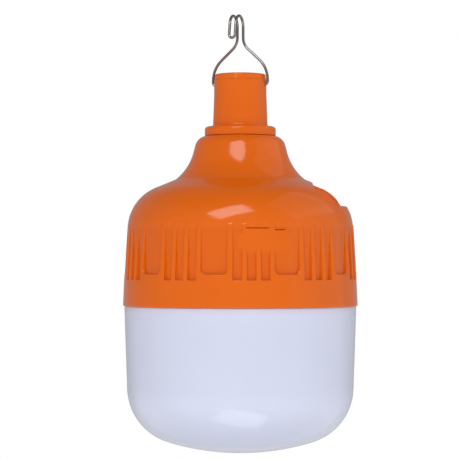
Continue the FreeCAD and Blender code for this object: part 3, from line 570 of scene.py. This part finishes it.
def housing_profile():
    """The housing's section, from inside the band round its foot and up to the collar."""
    centre, radius = circle_through(BAND_FOOT, BAND_MID, BAND_TOP)
    bore_depth, dome_gap, crown_gap = 3.0, 0.3, 0.05
    low, high = (math.degrees(math.asin((z - centre[1]) / radius)) for z in (BAND_BOTTOM + LIP, BAND_TOP[1]))
    foot_r = at(centre, radius, low)[0] - LIP
    dome_low = math.degrees(math.asin((BAND_TOP[1] + dome_gap - DOME[1]) / DOME_R))
    steep = math.radians(HOLLOW_STEEP)
    hollow = (HOLLOW_END[0] + HOLLOW_R * math.sin(steep), HOLLOW_END[1] + HOLLOW_R * math.cos(steep))
    hollow_start = math.degrees(math.acos((CREASE_R - hollow[0]) / HOLLOW_R))
    crown_foot = (HOLLOW_END[0] - (CROWN_START_Z - HOLLOW_END[1]) / math.tan(steep), CROWN_START_Z)
    crown = (crown_foot[0] - CROWN_R * math.sin(steep), crown_foot[1] - CROWN_R * math.cos(steep))
    crown_end = math.degrees(math.asin((COLLAR_BOTTOM - crown_gap - crown[1]) / CROWN_R))
    return Profile([
        *runs((BAND_BORE, BAND_BOTTOM + bore_depth), (BAND_BORE, BAND_BOTTOM), (foot_r, BAND_BOTTOM)),
        bend((foot_r, BAND_BOTTOM + LIP), LIP, -90, 0),
        bend(centre, radius, low, high),
        straight(BAND_TOP, at(DOME, DOME_R, dome_low)),
        bend(DOME, DOME_R, dome_low, 90 - CONE_SLOPE),
        straight(HEAD, at(hollow, HOLLOW_R, -hollow_start)),
        bend(hollow, HOLLOW_R, 360 - hollow_start, 270 - HOLLOW_STEEP),
        straight(HOLLOW_END, crown_foot),
        bend(crown, CROWN_R, 90 - HOLLOW_STEEP, crown_end),
        straight(at(crown, CROWN_R, crown_end), (SPIGOT_R, COLLAR_BOTTOM)),
    ])


def housing_rows(starts):
    """Distances along the profile: rows that follow the recesses up to the dome, and coarser ones above."""
    centre, radius = circle_through(BAND_FOOT, BAND_MID, BAND_TOP)
    zs = list(BAND_ROWS)
    for edge in (SLOT_BOTTOM, PANEL_BOTTOM, PAD_Z + PAD_HALF[1]):
        zs += edge_stops(edge, 1)
    zs += [z + side * (GROOVE_HALF + c) for _, _, z in GROOVES for side in SIDES for c in GROOVE_STOPS]
    zs += [PAD_Z - PAD_HALF[1] - PAD_RAMP * t for t in np.linspace(0, 1, 11)]
    zs += [PANEL_BOTTOM + c for c in PANEL_STOPS]
    zs += [PAD_Z + side * (PAD_HALF[1] - c) for side in SIDES for c in PAD_STOPS]
    low, *band = (math.asin((z - centre[1]) / radius) for z in [BAND_BOTTOM + LIP] + spread(zs, GAP))
    dense = [0.0, starts[1] - NEAR, starts[1], starts[1] + NEAR, starts[2] - NEAR]
    dense += [starts[2] + LIP * math.radians(a) for a in QUARTER]
    dense += [starts[3] + radius * (angle - low) for angle in band] + [starts[4], starts[5]]
    coarse = []
    for k, pitch in enumerate(COARSE_PITCH, 5):
        length = starts[k + 1] - starts[k]
        count = math.ceil(length / pitch)
        coarse += [starts[k] + length * (n + 1) / count for n in range(count)]
    return spread(dense, 0.004), coarse


def housing_columns():
    """Angles round the axis: the even ones, and with them those that follow the recesses."""
    even = list(np.arange(0, 360, BASE_STEP))
    across_slot, across_panel = edge_stops(SLOT_HALF, -1), edge_stops(PANEL_HALF, -1)
    across_panel += [PANEL_HALF - c for c in PANEL_STOPS]
    places = [(SLOT_CENTRE + n * SLOT_PITCH, across_slot) for n in (-1, 0, 1)]
    places.append((PANEL_CENTRE, across_panel))
    fine = [middle + group * GROUP_STEP + side * t / PER_DEGREE
            for group in range(10) for middle, stops in places for side in SIDES for t in stops]
    fine += [PAD_ANGLE + (PAD_HALF[0] + PAD_RAMP * t) / PER_DEGREE for t in np.linspace(0, 1, 7)]
    fine += [middle + side * (half + c) / PER_DEGREE
             for middle, half, _ in GROOVES for side in SIDES for c in GROOVE_STOPS]
    fine += [PAD_ANGLE + (PAD_HALF[0] - c) / PER_DEGREE for c in PAD_STOPS]
    fine = [f for f in spread([f % 360 for f in fine], GAP) if min(abs(f - c) for c in even + [360.0]) > GAP]
    return np.array(sorted(even + fine)), even


def housing():
    """The housing's outside, with the pocket's own mesh let into its dome."""
    profile = housing_profile()
    dense, coarse = housing_rows(profile.starts)
    angles, columns = housing_columns()
    is_base = np.isin(angles, columns)

    def grid(theta, s):
        """Points and normals. The normals don't feel the slope of the recesses' floors beside the pad."""
        theta, s = np.meshgrid(theta, s)
        nudge = 0.004
        turned = nudge / PER_DEGREE
        fade = pad_fade(theta, profile.at(s)[..., 1])

        def point(a, e):
            return housing_point(profile, theta + a, s + e, fade)
        east, up = point(turned, 0) - point(-turned, 0), point(0, nudge) - point(0, -nudge)
        return point(0, 0), eased(point(0, 0), unit(np.cross(east, up)))

    skin = Skin()
    points, normals = grid(angles, dense)
    ids = skin.add(points)
    for i in range(len(dense) - 1):
        skin.strip(ids[i], ids[i + 1], normals[i], normals[i + 1])
    top_ids, top_normals = ids[-1], normals[-1]
    columns = angles[is_base]
    c_points, c_normals = grid(columns, coarse)
    c_ids = skin.add(c_points)
    stops = list(np.flatnonzero(is_base)) + [len(angles)]
    for j in range(len(columns)):
        k = (j + 1) % len(columns)
        low = [m % len(angles) for m in range(stops[j], stops[j + 1] + 1)]
        skin.face([top_ids[m] for m in low] + [c_ids[0, k], c_ids[0, j]],
                  [top_normals[m] for m in low] + [c_normals[0, k], c_normals[0, j]])
    first, last = (int(round((90 + side * POCKET_REACH) / BASE_STEP)) for side in SIDES)
    heights, radii = c_points[:, 0, 2], np.hypot(c_points[:, 0, 0], c_points[:, 0, 1])
    low = int(np.argmax(heights > POCKET_LEDGE_Z - POCKET_MARGIN))
    high = int(np.argmax(radii < CREASE_R + NEAR))
    for i in range(len(coarse) - 1):
        for j in range(len(columns)):
            k = (j + 1) % len(columns)
            if low <= i < high and first <= j < last:
                continue
            ring = ((i, j), (i, k), (i + 1, k), (i + 1, j))
            skin.face([c_ids[c] for c in ring], [c_normals[c] for c in ring])
    border = [(low, j) for j in range(first, last)] + [(i, last) for i in range(low, high)]
    border += [(high, j) for j in range(last, first, -1)] + [(i, first) for i in range(high, low, -1)]
    border_flat = np.array([controls_plane(c_points[c]) for c in border])
    spare = [(controls_plane(c_points[i, j]), c_points[i, j])
             for i in range(low + 1, high) for j in range(first + 1, last)]
    pocket(skin, ([c_ids[c] for c in border], border_flat), spare)
    return skin.build("housing_shell", "housing", "orange_shell")


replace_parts(housing(), "upper_housing")


# ---- Neck, cap, diffuser and bail ----

COLLAR_R = 16.7
COLLAR_TOP = 152.8
NECK_FOOT_R = 12.8
NECK_HEAD_R = 12.3
NECK_BORE_R = 10.35
NECK_TOP = 174.7
CAP_TOP = 177.5
SPIGOT_BOTTOM = 140.0
BAIL_ANGLE = -21.0
PIVOT_Z = 172.3
WIRE_R = 0.65
HOOK_R = 5.0
HOOK_TOP = 204.5
HOOK_TILT = 9.0
HOOK_HALF_GAP = 1.45
HOOK_STRAND = 5.2
RIM_R = 54.4
CORNER = (26.58, 30.56)
CORNER_R = 26.5
DIFFUSER_WALL = 1.8
RIM_TOP = 76.0
RIM_INNER_R = 48.9
RIM_OUTER_R = BAND_BORE
BEVEL = 0.15                # of the neck's and the diffuser's small edges


def neck():
    """The collar, the neck above it and the spigot below, glued into the housing."""
    edge, foot, under, head = 1.5, 1.2, 0.3, 7.0
    shoulder = (COLLAR_R - edge, COLLAR_TOP - edge)
    hollow = (NECK_FOOT_R + foot, COLLAR_TOP + foot)
    stretches = [
        *runs((NECK_BORE_R, SPIGOT_BOTTOM), (SPIGOT_R, SPIGOT_BOTTOM), (SPIGOT_R, COLLAR_BOTTOM),
              (COLLAR_R - under, COLLAR_BOTTOM)),
        bend((COLLAR_R - under, COLLAR_BOTTOM + under), under, -90, 0),
        straight((COLLAR_R, COLLAR_BOTTOM + under), at(shoulder, edge, 0)),
        bend(shoulder, edge, 0, 90),
        straight(at(shoulder, edge, 90), at(hollow, foot, 270)),
        bend(hollow, foot, 270, 180),
        *runs(at(hollow, foot, 180), (NECK_HEAD_R, NECK_TOP - head), (NECK_HEAD_R, NECK_TOP - BEVEL),
              (NECK_HEAD_R - BEVEL, NECK_TOP), (NECK_BORE_R, NECK_TOP), (NECK_BORE_R, SPIGOT_BOTTOM)),
    ]
    return lathe("neck_shell", "housing", "orange_shell", stretches, 160, fine_step)


def neck_cap():
    """The cap: a skirt inside the neck's bore, a rounded rim and a shallow dish on top."""
    edge, skirt, skirt_wall, play = 0.8, 1.2, 1.6, 0.02
    inset, foot, soft = 0.35, 0.25, 0.12
    rim = (NECK_HEAD_R - inset - edge, CAP_TOP - edge)
    low = NECK_TOP - skirt
    bore = NECK_BORE_R - play
    dish_r, dish = rim[0] - 1.2, 0.2
    stretches = [
        *runs((0.0, NECK_TOP), (bore - skirt_wall, NECK_TOP), (bore - skirt_wall, low), (bore, low),
              (bore, NECK_TOP), (NECK_HEAD_R - foot, NECK_TOP), (NECK_HEAD_R - soft, NECK_TOP + soft),
              at(rim, edge, 0)),
        bend(rim, edge, 0, 90),
        *runs(at(rim, edge, 90), (dish_r, CAP_TOP), (dish_r - foot, CAP_TOP - dish), (0.0, CAP_TOP - dish)),
    ]
    return lathe("neck_cap_shell", "housing", "orange_shell", stretches, 160, fine_step)


def diffuser():
    """The bottom, the corner, the side, the rim inside the band, and back down inside."""
    bottom_r = (CORNER[0]**2 + CORNER[1]**2 - CORNER_R**2) / (2 * (CORNER[1] - CORNER_R))
    base = (0.0, bottom_r)
    join = math.degrees(math.atan2(CORNER[1] - bottom_r, CORNER[0]))
    reach = (RIM_R - CORNER[0], BAND_BOTTOM - CORNER[1])
    wall = math.degrees(math.atan2(reach[1], reach[0]) - math.acos(CORNER_R / math.hypot(*reach)))
    lean = math.tan(math.radians(-wall))
    inner_foot = at(CORNER, CORNER_R - DIFFUSER_WALL, wall)
    gusset_z = BAND_BOTTOM - 5.0
    gusset = (inner_foot[0] + (gusset_z - inner_foot[1]) * lean, gusset_z)
    soft = 0.4
    stretches = [
        bend(base, bottom_r, -90, join),
        bend(CORNER, CORNER_R, join, wall),
        *runs(at(CORNER, CORNER_R, wall), (RIM_R - soft * lean, BAND_BOTTOM - soft),
              (RIM_R - BEVEL, BAND_BOTTOM - 0.8 * BEVEL), (RIM_R - soft, BAND_BOTTOM),
              (RIM_OUTER_R, BAND_BOTTOM), (RIM_OUTER_R, RIM_TOP), (RIM_INNER_R, RIM_TOP),
              (RIM_INNER_R, gusset_z + gusset[0] - RIM_INNER_R), gusset, inner_foot),
        bend(CORNER, CORNER_R - DIFFUSER_WALL, wall, join),
        bend(base, bottom_r - DIFFUSER_WALL, join, -90),
    ]
    return lathe("diffuser_shell", "housing", "diffuser_white", stretches, 240, lambda _: 1.5)


def fine_step(middle):
    """Distance between rows round a point of a profile: coarse near the axis."""
    return 0.45 if middle[0] > 9 else 3.0


def bow(centre, radius, start, end, place):
    """Points of an arc, at most 7 degrees apart; place turns the two circle coordinates into a point."""
    count = max(4, math.ceil(abs(end - start) / 7))
    return [np.array(place(*at(centre, radius, a))) for a in np.linspace(start, end, count + 1)]


def bail_path():
    """The wire's centreline, from its end inside the neck up one side, round the hook's loop and back."""
    ends = (8.4, 10.5)          # inside the neck, and in its wall
    turn_in, big, slope, throat, widest = 1.6, 13.0, 48.0, 7.0, 13.7
    lean, tilt = math.radians(slope), math.radians(HOOK_TILT)
    elbow = (widest - turn_in, PIVOT_Z + turn_in)
    centre = (widest - big, elbow[1] + 0.7)
    end = at(centre, big, slope)
    throat_x = HOOK_HALF_GAP + throat * (1 - math.cos(lean))
    throat_z = end[1] + (end[0] - throat_x) / math.tan(lean)
    throat_centre = (HOOK_HALF_GAP + throat, throat_z + throat * math.sin(lean))
    over = HOOK_TOP - HOOK_R
    path = [np.array((x, 0, PIVOT_Z)) for x in ends]
    for arc in ((elbow, turn_in, -90, 0), (centre, big, 0, slope), (throat_centre, throat, 180 + slope, 180)):
        path += bow(*arc, lambda r, z: (r, 0.0, z))
    path += [np.array((HOOK_HALF_GAP, 0, z)) for z in np.linspace(throat_centre[1] + 0.5, over - 0.3, 5)]
    path += bow((-HOOK_R, over), HOOK_R, 0, 180 - HOOK_TILT, lambda y, z: (HOOK_HALF_GAP, y, z))
    hang = np.array((0, -math.sin(tilt), -math.cos(tilt)))
    tip = path[-1] + hang * HOOK_STRAND
    path += [path[-1] * (1 - t) + tip * t for t in (0.25, 0.5, 0.75, 1.0)]
    loop = [tip * (0, 1, 1) + (HOOK_HALF_GAP * math.cos(a), 0, 0) + hang * HOOK_HALF_GAP * math.sin(a)
            for a in np.linspace(0, math.pi, 17)[1:-1]]
    whole = np.array(path + loop + [p * (-1, 1, 1) for p in path[::-1]])
    whole = whole[np.concatenate([[True], np.linalg.norm(np.diff(whole, axis=0), axis=1) > 1e-3])]
    a = math.radians(BAIL_ANGLE)
    return whole @ np.array([[math.cos(a), -math.sin(a), 0], [math.sin(a), math.cos(a), 0], [0, 0, 1]]).T


def wire_hook():
    """A round wire along the bail's path, its ends closed inside the neck."""
    path = bail_path()
    skin = Skin()
    sides = 20
    forward = unit(np.gradient(path, axis=0))
    side = unit(np.cross(forward[0], (0, 0, 1)))
    angles = np.arange(sides) * 2 * math.pi / sides
    rows = []
    for p, f in zip(path, forward):
        side = unit(side - (side @ f) * f)
        other = np.cross(f, side)
        normals = np.outer(np.cos(angles), side) + np.outer(np.sin(angles), other)
        rows.append((skin.add(p + normals * WIRE_R), normals))
    for (low, low_n), (high, high_n) in zip(rows, rows[1:]):
        skin.strip(low, high, low_n, high_n)
    skin.face(rows[0][0][::-1], [-forward[0]] * sides)
    skin.face(rows[-1][0], [forward[-1]] * sides)
    return skin.build("bail_wire", "bail", "hook_steel")


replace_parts(neck(), "neck")
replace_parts(neck_cap(), "neck_cap")
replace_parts(diffuser(), "diffuser")
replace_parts(wire_hook(), "wire_hook")


# ---- Materials ----

class Nodes:
    """A node tree in the making."""

    def __init__(self, tree):
        self.tree = tree

    def node(self, kind, **inputs):
        made = self.tree.nodes.new(kind)
        for name, value in inputs.items():
            self.feed(made.inputs[name], value)
        return made

    def feed(self, socket, value):
        if isinstance(value, bpy.types.NodeSocket):
            self.tree.links.new(value, socket)
        else:
            socket.default_value = value

    def between(self, mask, low=0.0, high=1.0, start=0.3, stop=0.7):
        """The mask's values from start to stop, spread from low to high."""
        ends = {"From Min": start, "From Max": stop, "To Min": low, "To Max": high}
        return self.node("ShaderNodeMapRange", Value=mask, **ends).outputs["Result"]

    def length(self, vector):
        made = self.node("ShaderNodeVectorMath", Vector=vector)
        made.operation = "LENGTH"
        return made.outputs["Value"]


class Finish(Nodes):
    """A procedural material: a Principled shader and the textures that feed it."""

    def __init__(self, slot, **values):
        self.slot = slot
        self.material = bpy.data.materials.new(slot)
        self.material.use_nodes = True
        super().__init__(self.material.node_tree)
        self.shader = self.tree.nodes["Principled BSDF"]
        for name, value in values.items():
            self.set(name.replace("_", " "), value)
        self.place = self.node("ShaderNodeTexCoord").outputs["Object"]

    def set(self, name, value):
        self.feed(self.shader.inputs[name], value)

    def stretched(self, scale):
        """Coordinates scaled along each axis, for grain that runs one way."""
        return self.node("ShaderNodeMapping", Vector=self.place, Scale=scale).outputs["Vector"]

    def noise(self, grain, detail=2.0, place=None):
        """Clouds whose features are about grain millimetres wide."""
        made = self.node("ShaderNodeTexNoise", Vector=place or self.place, Scale=1000 / grain, Detail=detail)
        return made.outputs["Fac"]

    def cells(self, grain):
        return self.node("ShaderNodeTexVoronoi", Vector=self.place, Scale=1000 / grain).outputs["Distance"]

    def colours(self, mask, first, second):
        """Base colour, from first to second by the mask. Each may be what an earlier call gave."""
        made = self.tree.nodes.new("ShaderNodeMix")
        made.data_type = "RGBA"
        self.feed(made.inputs["Factor"], mask)
        for name, colour in (("A", first), ("B", second)):
            self.feed(made.inputs[name], colour if isinstance(colour, bpy.types.NodeSocket) else (*colour, 1))
        self.set("Base Color", made.outputs["Result"])
        return made.outputs["Result"]

    def rough(self, mask, low, high):
        self.set("Roughness", self.between(mask, low, high))

    def bump(self, *layers):
        """Relief in layers, each a mask and its height in millimetres."""
        normal = None
        for mask, height in layers:
            made = self.node("ShaderNodeBump", Height=mask, Distance=height * MM, Strength=1.0)
            if normal:
                self.feed(made.inputs["Normal"], normal)
            normal = made.outputs["Normal"]
        self.set("Normal", normal)


def moulded(slot, colour, shade, low, high, grain=0.5, height=0.004, **values):
    """Moulded plastic or rubber: clouded colour, uneven gloss and a fine surface grain."""
    made = Finish(slot, **values)
    made.colours(made.between(made.noise(9.0, 4.0)), colour, shade)
    made.rough(made.noise(3.0, 3.0), low, high)
    made.bump((made.noise(grain, 3.0), height))
    return made


def metal(slot, colour, shade, low, high, scale=(1.0, 1.0, 1.0)):
    """Rolled or drawn metal: fine streaks along the axis whose scale is small."""
    made = Finish(slot, Metallic=1.0)
    streaks = made.noise(6.0, 5.0, made.stretched(scale))
    made.colours(made.between(streaks), colour, shade)
    made.rough(made.noise(4.0, 4.0, made.stretched(scale)), low, high)
    made.bump((streaks, 0.002))
    return made


def lamp_coordinates(made):
    """How far a point is from the lamp's axis and how high it is, in the lamp's own millimetres."""
    place = made.node("ShaderNodeMapping", Vector=made.place, Location=tuple(-AXIS / MM), Scale=(1 / MM,) * 3)
    split = made.node("ShaderNodeSeparateXYZ", Vector=place.outputs["Vector"])
    level = made.node("ShaderNodeCombineXYZ", X=split.outputs["X"], Y=split.outputs["Y"])
    return made.length(level.outputs["Vector"]), split.outputs["Z"]


def orange_shell():
    """Glossy ABS: faint clouds and flow ripple, painted shade on the recesses' floors, and a satin pocket
    floor with a painted brighter orange for the light on it.
    """
    made = Finish("orange_shell", Specular_IOR_Level=0.38)
    radius, height = lamp_coordinates(made)
    section = made.node("ShaderNodeCombineXYZ", X=radius, Y=height).outputs["Vector"]
    centred = made.node("ShaderNodeMapping", Vector=section, Location=(-DOME[0], -DOME[1], 0))
    pocket_floor = made.between(made.length(centred.outputs["Vector"]), 0.0, 1.0, DOME_R - 0.3, DOME_R - 0.9)
    # Painted shade: the recesses' floors on the band get a darker orange, standing in for the shade that
    # falls inside them.
    on_band = made.between(height, 1.0, 0.0, BAND_TOP[1] - 2, BAND_TOP[1] - 0.5)
    recess_painted_shade = made.between(radius, on_band, 0.0, RECESS_FLOOR_R + 0.05, RECESS_FLOOR_R + 0.5)
    clouds = made.between(made.noise(28.0, 3.0))
    pigment_and_painted_shade = made.colours(clouds, (0.8, 0.138, 0.001), (0.77, 0.13, 0.001))
    pigment_and_painted_shade = made.colours(recess_painted_shade, pigment_and_painted_shade, (0.755, 0.124, 0.0))
    # Painted light: the pocket's floor gets a brighter, redder orange, standing in for the light that falls
    # on it. Its satin roughness further down is real.
    made.colours(pocket_floor, pigment_and_painted_shade, (0.92, 0.135, 0.001))
    gloss = made.between(made.noise(7.0, 5.0), 0.1, 0.15)
    satin = made.between(made.noise(0.5, 3.0), 0.6, 0.75)
    made.set("Roughness", made.between(pocket_floor, gloss, satin, 0.0, 1.0))
    made.bump((made.noise(2.4, 1.0), 0.0012), (made.noise(0.35, 2.0), 0.0003))
    return made


def diffuser_white():
    """Opal polycarbonate, which scatters light a few millimetres deep. Its rim has a painted orange-pink tint
    for the light that the orange housing casts into it.
    """
    made = Finish("diffuser_white", Specular_IOR_Level=0.4, Subsurface_Weight=0.6, Subsurface_Scale=0.004)
    made.set("Subsurface Radius", (1.0, 0.9, 0.8))
    clouds = made.between(made.noise(35.0, 3.0))
    opal = made.colours(clouds, (0.695, 0.718, 0.9), (0.675, 0.703, 0.89))
    height = made.node("ShaderNodeSeparateXYZ", Vector=made.place).outputs["Z"]
    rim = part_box("upper_housing")[0][2]
    # Painted light: an orange-pink tint up to the rim, standing in for light from the orange housing.
    made.colours(made.between(height, 0.0, 0.5, rim - 4 * MM, rim), opal, (0.72, 0.58, 0.66))
    made.rough(made.noise(9.0, 4.0), 0.05, 0.08)
    made.bump((made.noise(3.0, 1.0), 0.0008), (made.noise(0.3, 2.0), 0.0001))
    return made


def foam_grey():
    made = Finish("foam_grey")
    cells = made.cells(0.7)
    made.colours(cells, (0.05, 0.05, 0.055), (0.13, 0.13, 0.14))
    made.rough(made.noise(4.0), 0.85, 0.95)
    made.bump((cells, 0.15))
    return made


def board_green():
    """Solder mask over copper tracks, which show as slightly raised and lighter cells."""
    made = Finish("board_green")
    tracks = made.between(made.cells(3.2), 1.0, 0.0, 0.05, 0.16)
    made.colours(tracks, (0.006, 0.09, 0.03), (0.012, 0.17, 0.06))
    made.rough(made.noise(3.0), 0.25, 0.38)
    made.bump((tracks, 0.03), (made.noise(0.3), 0.003))
    return made


def clear_plastic():
    made = Finish("clear_plastic", Transmission_Weight=0.75, IOR=1.49)
    made.colours(made.between(made.noise(2.0)), (0.86, 0.92, 0.95), (0.78, 0.86, 0.9))
    made.rough(made.noise(0.8, 3.0), 0.18, 0.34)
    made.bump((made.noise(0.25), 0.004))
    return made


DRAWN = (1.0, 1.0, 0.06)
ROLLED = (0.05, 1.0, 1.0)

FINISHES = [
    orange_shell(),
    diffuser_white(),
    foam_grey(),
    board_green(),
    clear_plastic(),
    metal("hook_steel", (0.31, 0.285, 0.27), (0.22, 0.205, 0.195), 0.14, 0.26, DRAWN),
    metal("plate_aluminium", (0.8, 0.81, 0.82), (0.68, 0.69, 0.71), 0.28, 0.42, ROLLED),
    metal("screw_steel", (0.56, 0.55, 0.53), (0.45, 0.44, 0.42), 0.25, 0.4),
    metal("cell_steel", (0.72, 0.71, 0.69), (0.6, 0.59, 0.57), 0.22, 0.34, DRAWN),
    metal("nickel_strip", (0.66, 0.63, 0.56), (0.56, 0.53, 0.47), 0.26, 0.4, DRAWN),
    metal("socket_steel", (0.62, 0.62, 0.61), (0.5, 0.5, 0.49), 0.2, 0.36),
    moulded("seal_silicone", (0.55, 0.55, 0.53), (0.47, 0.47, 0.45), 0.45, 0.6),
    moulded("led_board_white", (0.82, 0.83, 0.82), (0.74, 0.75, 0.74), 0.32, 0.45, 0.3),
    moulded("chip_phosphor", (0.86, 0.62, 0.1), (0.78, 0.53, 0.07), 0.4, 0.55, 0.12, 0.01),
    moulded("wrap_blue", (0.02, 0.1, 0.36), (0.015, 0.075, 0.28), 0.2, 0.34, 2.0, 0.01),
    moulded("cradle_black", (0.022, 0.022, 0.024), (0.035, 0.035, 0.037), 0.4, 0.55),
    moulded("soft_orange", (0.8, 0.13, 0.004), (0.72, 0.11, 0.003), 0.42, 0.55, 0.4, 0.008,
            Specular_IOR_Level=0.35),
    moulded("socket_black", (0.02, 0.02, 0.02), (0.032, 0.032, 0.032), 0.35, 0.5),
    moulded("led_package", (0.8, 0.8, 0.76), (0.7, 0.7, 0.64), 0.35, 0.5, 0.2),
    moulded("component_black", (0.025, 0.025, 0.027), (0.04, 0.04, 0.042), 0.45, 0.62, 0.15, 0.006),
    moulded("capacitor_sleeve", (0.03, 0.045, 0.12), (0.022, 0.035, 0.09), 0.25, 0.4, 1.5, 0.006),
    moulded("connector_white", (0.72, 0.7, 0.62), (0.64, 0.62, 0.54), 0.35, 0.5),
    moulded("lead_red", (0.52, 0.012, 0.01), (0.43, 0.01, 0.008), 0.35, 0.5, 0.6),
    moulded("lead_black", (0.018, 0.018, 0.018), (0.03, 0.03, 0.03), 0.35, 0.5, 0.6),
]
BY_SLOT = {made.slot: made.material for made in FINISHES}
for piece, slot in PIECES + [(node, SLOT_OF[name]) for name, node in frame["nodes"].items()]:
    piece.data.materials.clear()
    piece.data.materials.append(BY_SLOT[slot])


# ---- Studio ----

FLOOR_DROP = 0.25           # metres from the diffuser's lowest point down to the floor
FLOOR_R = 2.5
AIR_FRONT = 0.46            # how bright the air is, as parts of white: level and in front
AIR_BEHIND = 0.33           # level and behind
AIR_TOP = 0.22
AIR_BELOW = 1.2             # aslant below
AIR_FAR_BELOW = 0.62        # the same, beyond the lamp
AIR_UNDER = 0.1             # straight below
CAMERA_LENS = 170.7
CAMERA_AT = (-0.00328, -1.01783, -0.11235)
CAMERA_AIM = (-0.00328, 0.00467, -0.09935)
# Name, spot on the lamp, way to the light, way along its width, spread, radiance and distance
LIGHTS = (
    ("key", (-4.6, -50.9, 111.7), (-0.167, -0.724, 0.669), (0.592, 0.163, 0.324), (0.7, 0.39), 5, 1.2),
    ("low", (0.2, -49.5, 19.9), (0.0, -0.578, -0.816), (0.637, 0.245, -0.173), (0.8, 0.58), 2.4, 0.5),
    ("right", (0, 0, 94), (1, -0.1, 0.0), (0, 1, 0), (1.4, 1.5), 0.18, 1.5),
    ("upper_right", (0, 0, 110), (0.75, 0.0, 0.75), (0, 1, 0), (1.2, 0.8), 0.32, 1.5),
)


def floor():
    """A pale disc under the hanging lamp, which fades out before its edge."""
    mesh = bpy.data.meshes.new("floor")
    angles = np.linspace(0, 2 * math.pi, 96, endpoint=False)
    rim = [(FLOOR_R * math.cos(a), FLOOR_R * math.sin(a), 0) for a in angles]
    mesh.from_pydata(rim, [], [list(range(len(rim)))])
    disc = placed("floor", mesh)
    disc.location = (AXIS[0], AXIS[1], cad_box[0][2] - FLOOR_DROP)
    disc.visible_diffuse = disc.visible_glossy = disc.visible_transmission = disc.visible_shadow = False
    made = Finish("floor_paper", Specular_IOR_Level=0.1, Emission_Strength=0.55)
    made.set("Emission Color", (1, 1, 1, 1))
    made.colours(made.noise(300.0), (0.83, 0.83, 0.83), (0.8, 0.8, 0.8))
    made.rough(made.noise(50.0), 0.7, 0.85)
    made.set("Alpha", made.between(made.length(made.place), 1.0, 0.0, 0.5, FLOOR_R - 0.1))
    mesh.materials.append(made.material)


def studio_air():
    """White behind the lamp; around it soft light, strong from below and weak from the front."""
    world = bpy.data.worlds.new("studio")
    bpy.context.scene.world = world
    world.use_nodes = True
    air = Nodes(world.node_tree)

    def blend(low, high, value, start, stop):
        result = air.between(value, low, high, start, stop)
        result.node.interpolation_type = "SMOOTHSTEP"
        return result

    place = air.node("ShaderNodeTexCoord").outputs["Generated"]
    split = air.node("ShaderNodeSeparateXYZ", Vector=place).outputs
    level = blend(AIR_FRONT, AIR_BEHIND, split["Y"], -0.4, 0.6)
    above = blend(level, AIR_TOP, split["Z"], 0.4, 0.9)
    below = blend(AIR_BELOW, AIR_FAR_BELOW, split["Y"], 0.5, 0.85)
    under = blend(AIR_UNDER, below, split["Z"], -0.95, -0.4)
    around = blend(under, above, split["Z"], -0.35, 0.1)
    seen = air.node("ShaderNodeLightPath").outputs["Is Camera Ray"]
    background = air.tree.nodes["Background"].inputs
    air.feed(background["Strength"], blend(around, 1.0, seen, 0.0, 1.0))
    air.feed(background["Color"], (1, 1, 1, 1))


def panel_light(name, spot, toward, along, spread, radiance, distance):
    """A soft light that faces a spot on the lamp. Its spread is its size per unit of distance."""
    data = bpy.data.lights.new(name, "AREA")
    data.shape = "RECTANGLE"
    data.size, data.size_y = spread[0] * distance, spread[1] * distance
    data.energy = radiance * math.pi * data.size * data.size_y
    light = placed(name, data)
    toward = Vector(toward).normalized()
    across = Vector(along)
    across = (across - across.dot(toward) * toward).normalized()
    pose = Matrix((across, toward.cross(across), toward)).transposed().to_4x4()
    pose.translation = Vector(np.array(spot) * MM + AXIS) + toward * distance
    light.matrix_world = pose
    light.visible_camera = False


def camera():
    """About level with the middle of the lamp, a metre in front of it."""
    camera = placed("camera", bpy.data.cameras.new("camera"))
    camera.data.lens, camera.data.sensor_width = CAMERA_LENS, 36
    camera.location = CAMERA_AT
    camera.rotation_euler = (Vector(CAMERA_AIM) - camera.location).to_track_quat("-Z", "Y").to_euler()
    bpy.context.scene.camera = camera


floor()
studio_air()
camera()
for light in LIGHTS:
    panel_light(*light)
bpy.context.scene.view_settings.view_transform = "Standard"
